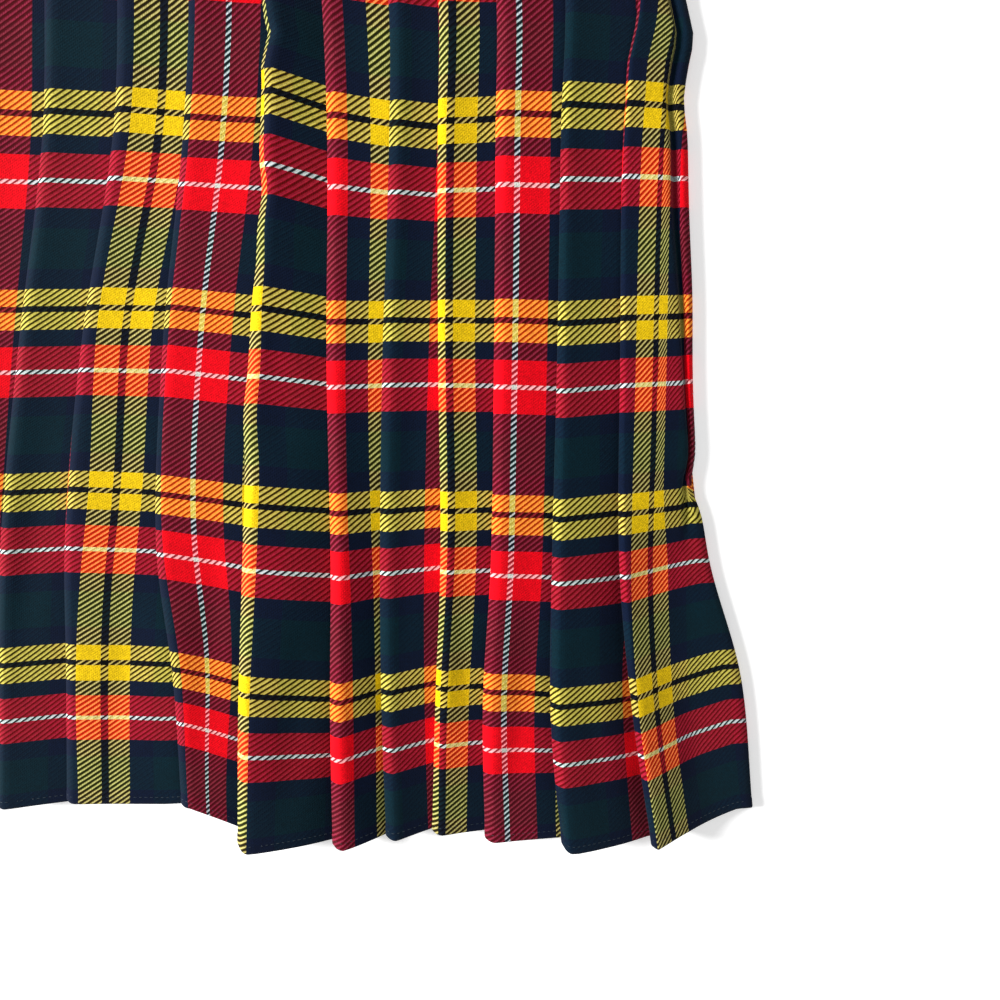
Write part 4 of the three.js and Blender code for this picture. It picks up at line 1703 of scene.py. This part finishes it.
@dataclass
class Sewing:
    """The stitches that show: round the hem, along the waistband and through the button.

    Args:
        form: the pleats' form.
        ground: where it lies.
        hem_at: the hem stitches' height above the hem, in millimetres.
        proud: how far they lie above the middle of the cloth.
    """

    form: SkirtForm
    ground: Ground
    hem_at: float = 5.2
    proud: float = 0.78

    def hem_paths(self) -> list[np.ndarray]:
        """Return a path over each pleat's shown face and each side, just on the cloth."""
        height = self.hem_at
        whole = self.form.path(height)
        folds = [self.form.fold_x(p, height) for p in PLEATS]
        ends = [*folds[1:], self.form.edge(height) - 1.5]
        spans = [(-self.form.edge(height) + 3, folds[0]), *zip(folds, ends)]
        paths = []
        for start, end in spans:
            rows = whole[(whole[:, X] > start + 0.8) & (whole[:, X] < end - 0.3)]
            rows = self._upper(rows)
            if len(rows) > 2:
                y = height + rows[:, LIFT]
                points = np.stack([rows[:, X], y, rows[:, Z] + self.proud], axis=1)
                paths.append(self.ground.place(points))
        return paths

    @staticmethod
    def _upper(rows: np.ndarray) -> np.ndarray:
        """Return the rows of the topmost run of cloth, in order across.

        Args:
            rows: rows of a cloth path.

        Returns:
            The rows that nothing lies over.
        """
        beside, layer = 1.5, 1.2
        order = rows[np.argsort(rows[:, X])]
        kept: list[np.ndarray] = []
        for row in order:
            near = order[np.abs(order[:, X] - row[X]) < beside]
            if row[Z] >= near[:, Z].max() - layer:
                kept.append(row)
        return np.array(kept)

    def build(self, finishes: Finishes, band: Waistband, button: Button) -> None:
        """Build and dress all the stitches.

        Args:
            finishes: the skirt's materials.
            band: the waistband.
            button: its button.
        """
        hem = StitchTree("hem_stitch_tree", finishes.hem_thread)
        sizes = {"Pitch": 3.2 * MM, "Length": 1.0 * MM, "Radius": 0.14 * MM}
        dress(hem.sew("hem_stitches", self.hem_paths(), sizes), finishes.hem_thread, None)
        seam = StitchTree("band_stitch_tree", finishes.band_thread)
        reach = self.form.half_width[-1] - 26
        across = np.linspace(-reach, reach, 60)
        flat = np.ones(len(across))
        level = band.back_top + 0.1
        rows = [np.stack([across, (self.form.top + up) * flat, level * flat], axis=1)
                for up in (1.2, band.height - 2.6)]
        sizes = {"Pitch": 2.8 * MM, "Length": 1.0 * MM, "Radius": 0.2 * MM}
        paths = [self.ground.place(row) for row in rows]
        dress(seam.sew("band_stitches", paths, sizes), finishes.band_thread, None)
        sizes = {"Pitch": 0.35 * MM, "Length": 0.32 * MM, "Radius": 0.2 * MM}
        paths = [self.ground.place(path) for path in button.thread_paths()]
        dress(seam.sew("button_thread", paths, sizes), finishes.band_thread, None)


@dataclass
class Studio:
    """Floor, lights and camera.

    Args:
        ground: where the skirt lies.
        look_x: where the camera looks, across the skirt, in millimetres.
        look_y: the same above the hem.
        distance: from the camera to the cloth's plane.
        tilt: how far it leans towards the hem, in degrees.
        lens: its focal length, in millimetres.
        sensor: its sensor's width, in millimetres.
        sky: the strength of the light from all round.
        floor_reach: how far the floor reaches each way, in metres.
        floor_gap: how far it lies below the skirt, in metres.
    """

    ground: Ground
    look_x: float = 134.0
    look_y: float = 216.7
    distance: float = 452.0
    tilt: float = 8.0
    lens: float = 27.0
    sensor: float = 36.0
    sky: float = 0.33
    floor_reach: float = 4.0
    floor_gap: float = 0.0004

    def camera(self) -> None:
        """Make the camera above the skirt's lower right part."""
        data = bpy.data.cameras.new("camera")
        data.lens = self.lens
        data.sensor_width = self.sensor
        data.sensor_fit = "HORIZONTAL"
        data.clip_start = 0.01
        obj = bpy.data.objects.new("camera", data)
        bpy.context.scene.collection.objects.link(obj)
        lean = math.radians(self.tilt)
        look = self.ground.place(np.array([[self.look_x, self.look_y, 0.0]]))[0]
        away = Vector((0, math.sin(lean), math.cos(lean))) * self.distance * MM
        obj.location = Vector(look) + away
        obj.rotation_euler = (-lean, 0, 0)
        bpy.context.scene.camera = obj

    def light(self, name: str, place: tuple[float, float, float], size: float, power: float) -> None:
        """Make an area light that faces the picture's middle.

        Args:
            name: the light's name.
            place: where it stands from there, in metres.
            size: its diameter, in metres.
            power: its power, in watts.
        """
        data = bpy.data.lights.new(name, "AREA")
        data.shape = "DISK"
        data.size = size
        data.energy = power
        obj = bpy.data.objects.new(name, data)
        bpy.context.scene.collection.objects.link(obj)
        look = Vector(self.ground.place(np.array([[self.look_x, self.look_y, 0.0]]))[0])
        obj.location = look + Vector(place)
        obj.rotation_euler = (look - obj.location).to_track_quat("-Z", "Y").to_euler()

    def floor(self) -> None:
        """Make the floor."""
        r, z = self.floor_reach, -self.floor_gap
        data = bpy.data.meshes.new("floor")
        data.from_pydata([(-r, -r, z), (r, -r, z), (r, r, z), (-r, r, z)], [], [(0, 1, 2, 3)])
        floor = bpy.data.objects.new("floor", data)
        bpy.context.scene.collection.objects.link(floor)
        data.materials.append(Floor().material())

    def build(self) -> None:
        """Make the whole studio."""
        scene = bpy.context.scene
        scene.view_settings.view_transform = "Standard"
        scene.view_settings.look = "None"
        self.floor()
        world = bpy.data.worlds.new("soft_white")
        world.use_nodes = True
        background = world.node_tree.nodes["Background"]
        background.inputs["Color"].default_value = (1, 1, 1, 1)
        background.inputs["Strength"].default_value = self.sky
        scene.world = world
        self.light("window", (-2.6, 0.6, 1.4), 0.85, 184.0)
        self.light("fill", (0.9, 0.5, 1.6), 1.4, 5.0)
        self.camera()


def main() -> None:
    """Build the skirt piece by piece around the frame."""
    logging.basicConfig(level=logging.INFO, format="%(name)s: %(message)s")
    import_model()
    form = SkirtForm()
    ground = Ground.from_frame(form)
    finishes = Finishes()
    Studio(ground).build()
    FlatApron(form, ground, Apron.OVER, free_inset=14.0).build(finishes)
    FlatApron(form, ground, Apron.UNDER, free_inset=25.0).build(finishes)
    PleatedBack(form, ground).build(finishes)
    band = Waistband(form, ground)
    band.build_band(finishes)
    band.build_tab(finishes)
    button = Button(band, ground)
    button.build(finishes)
    Sewing(form, ground).build(finishes, band, button)


if __name__ == "__main__":
    main()
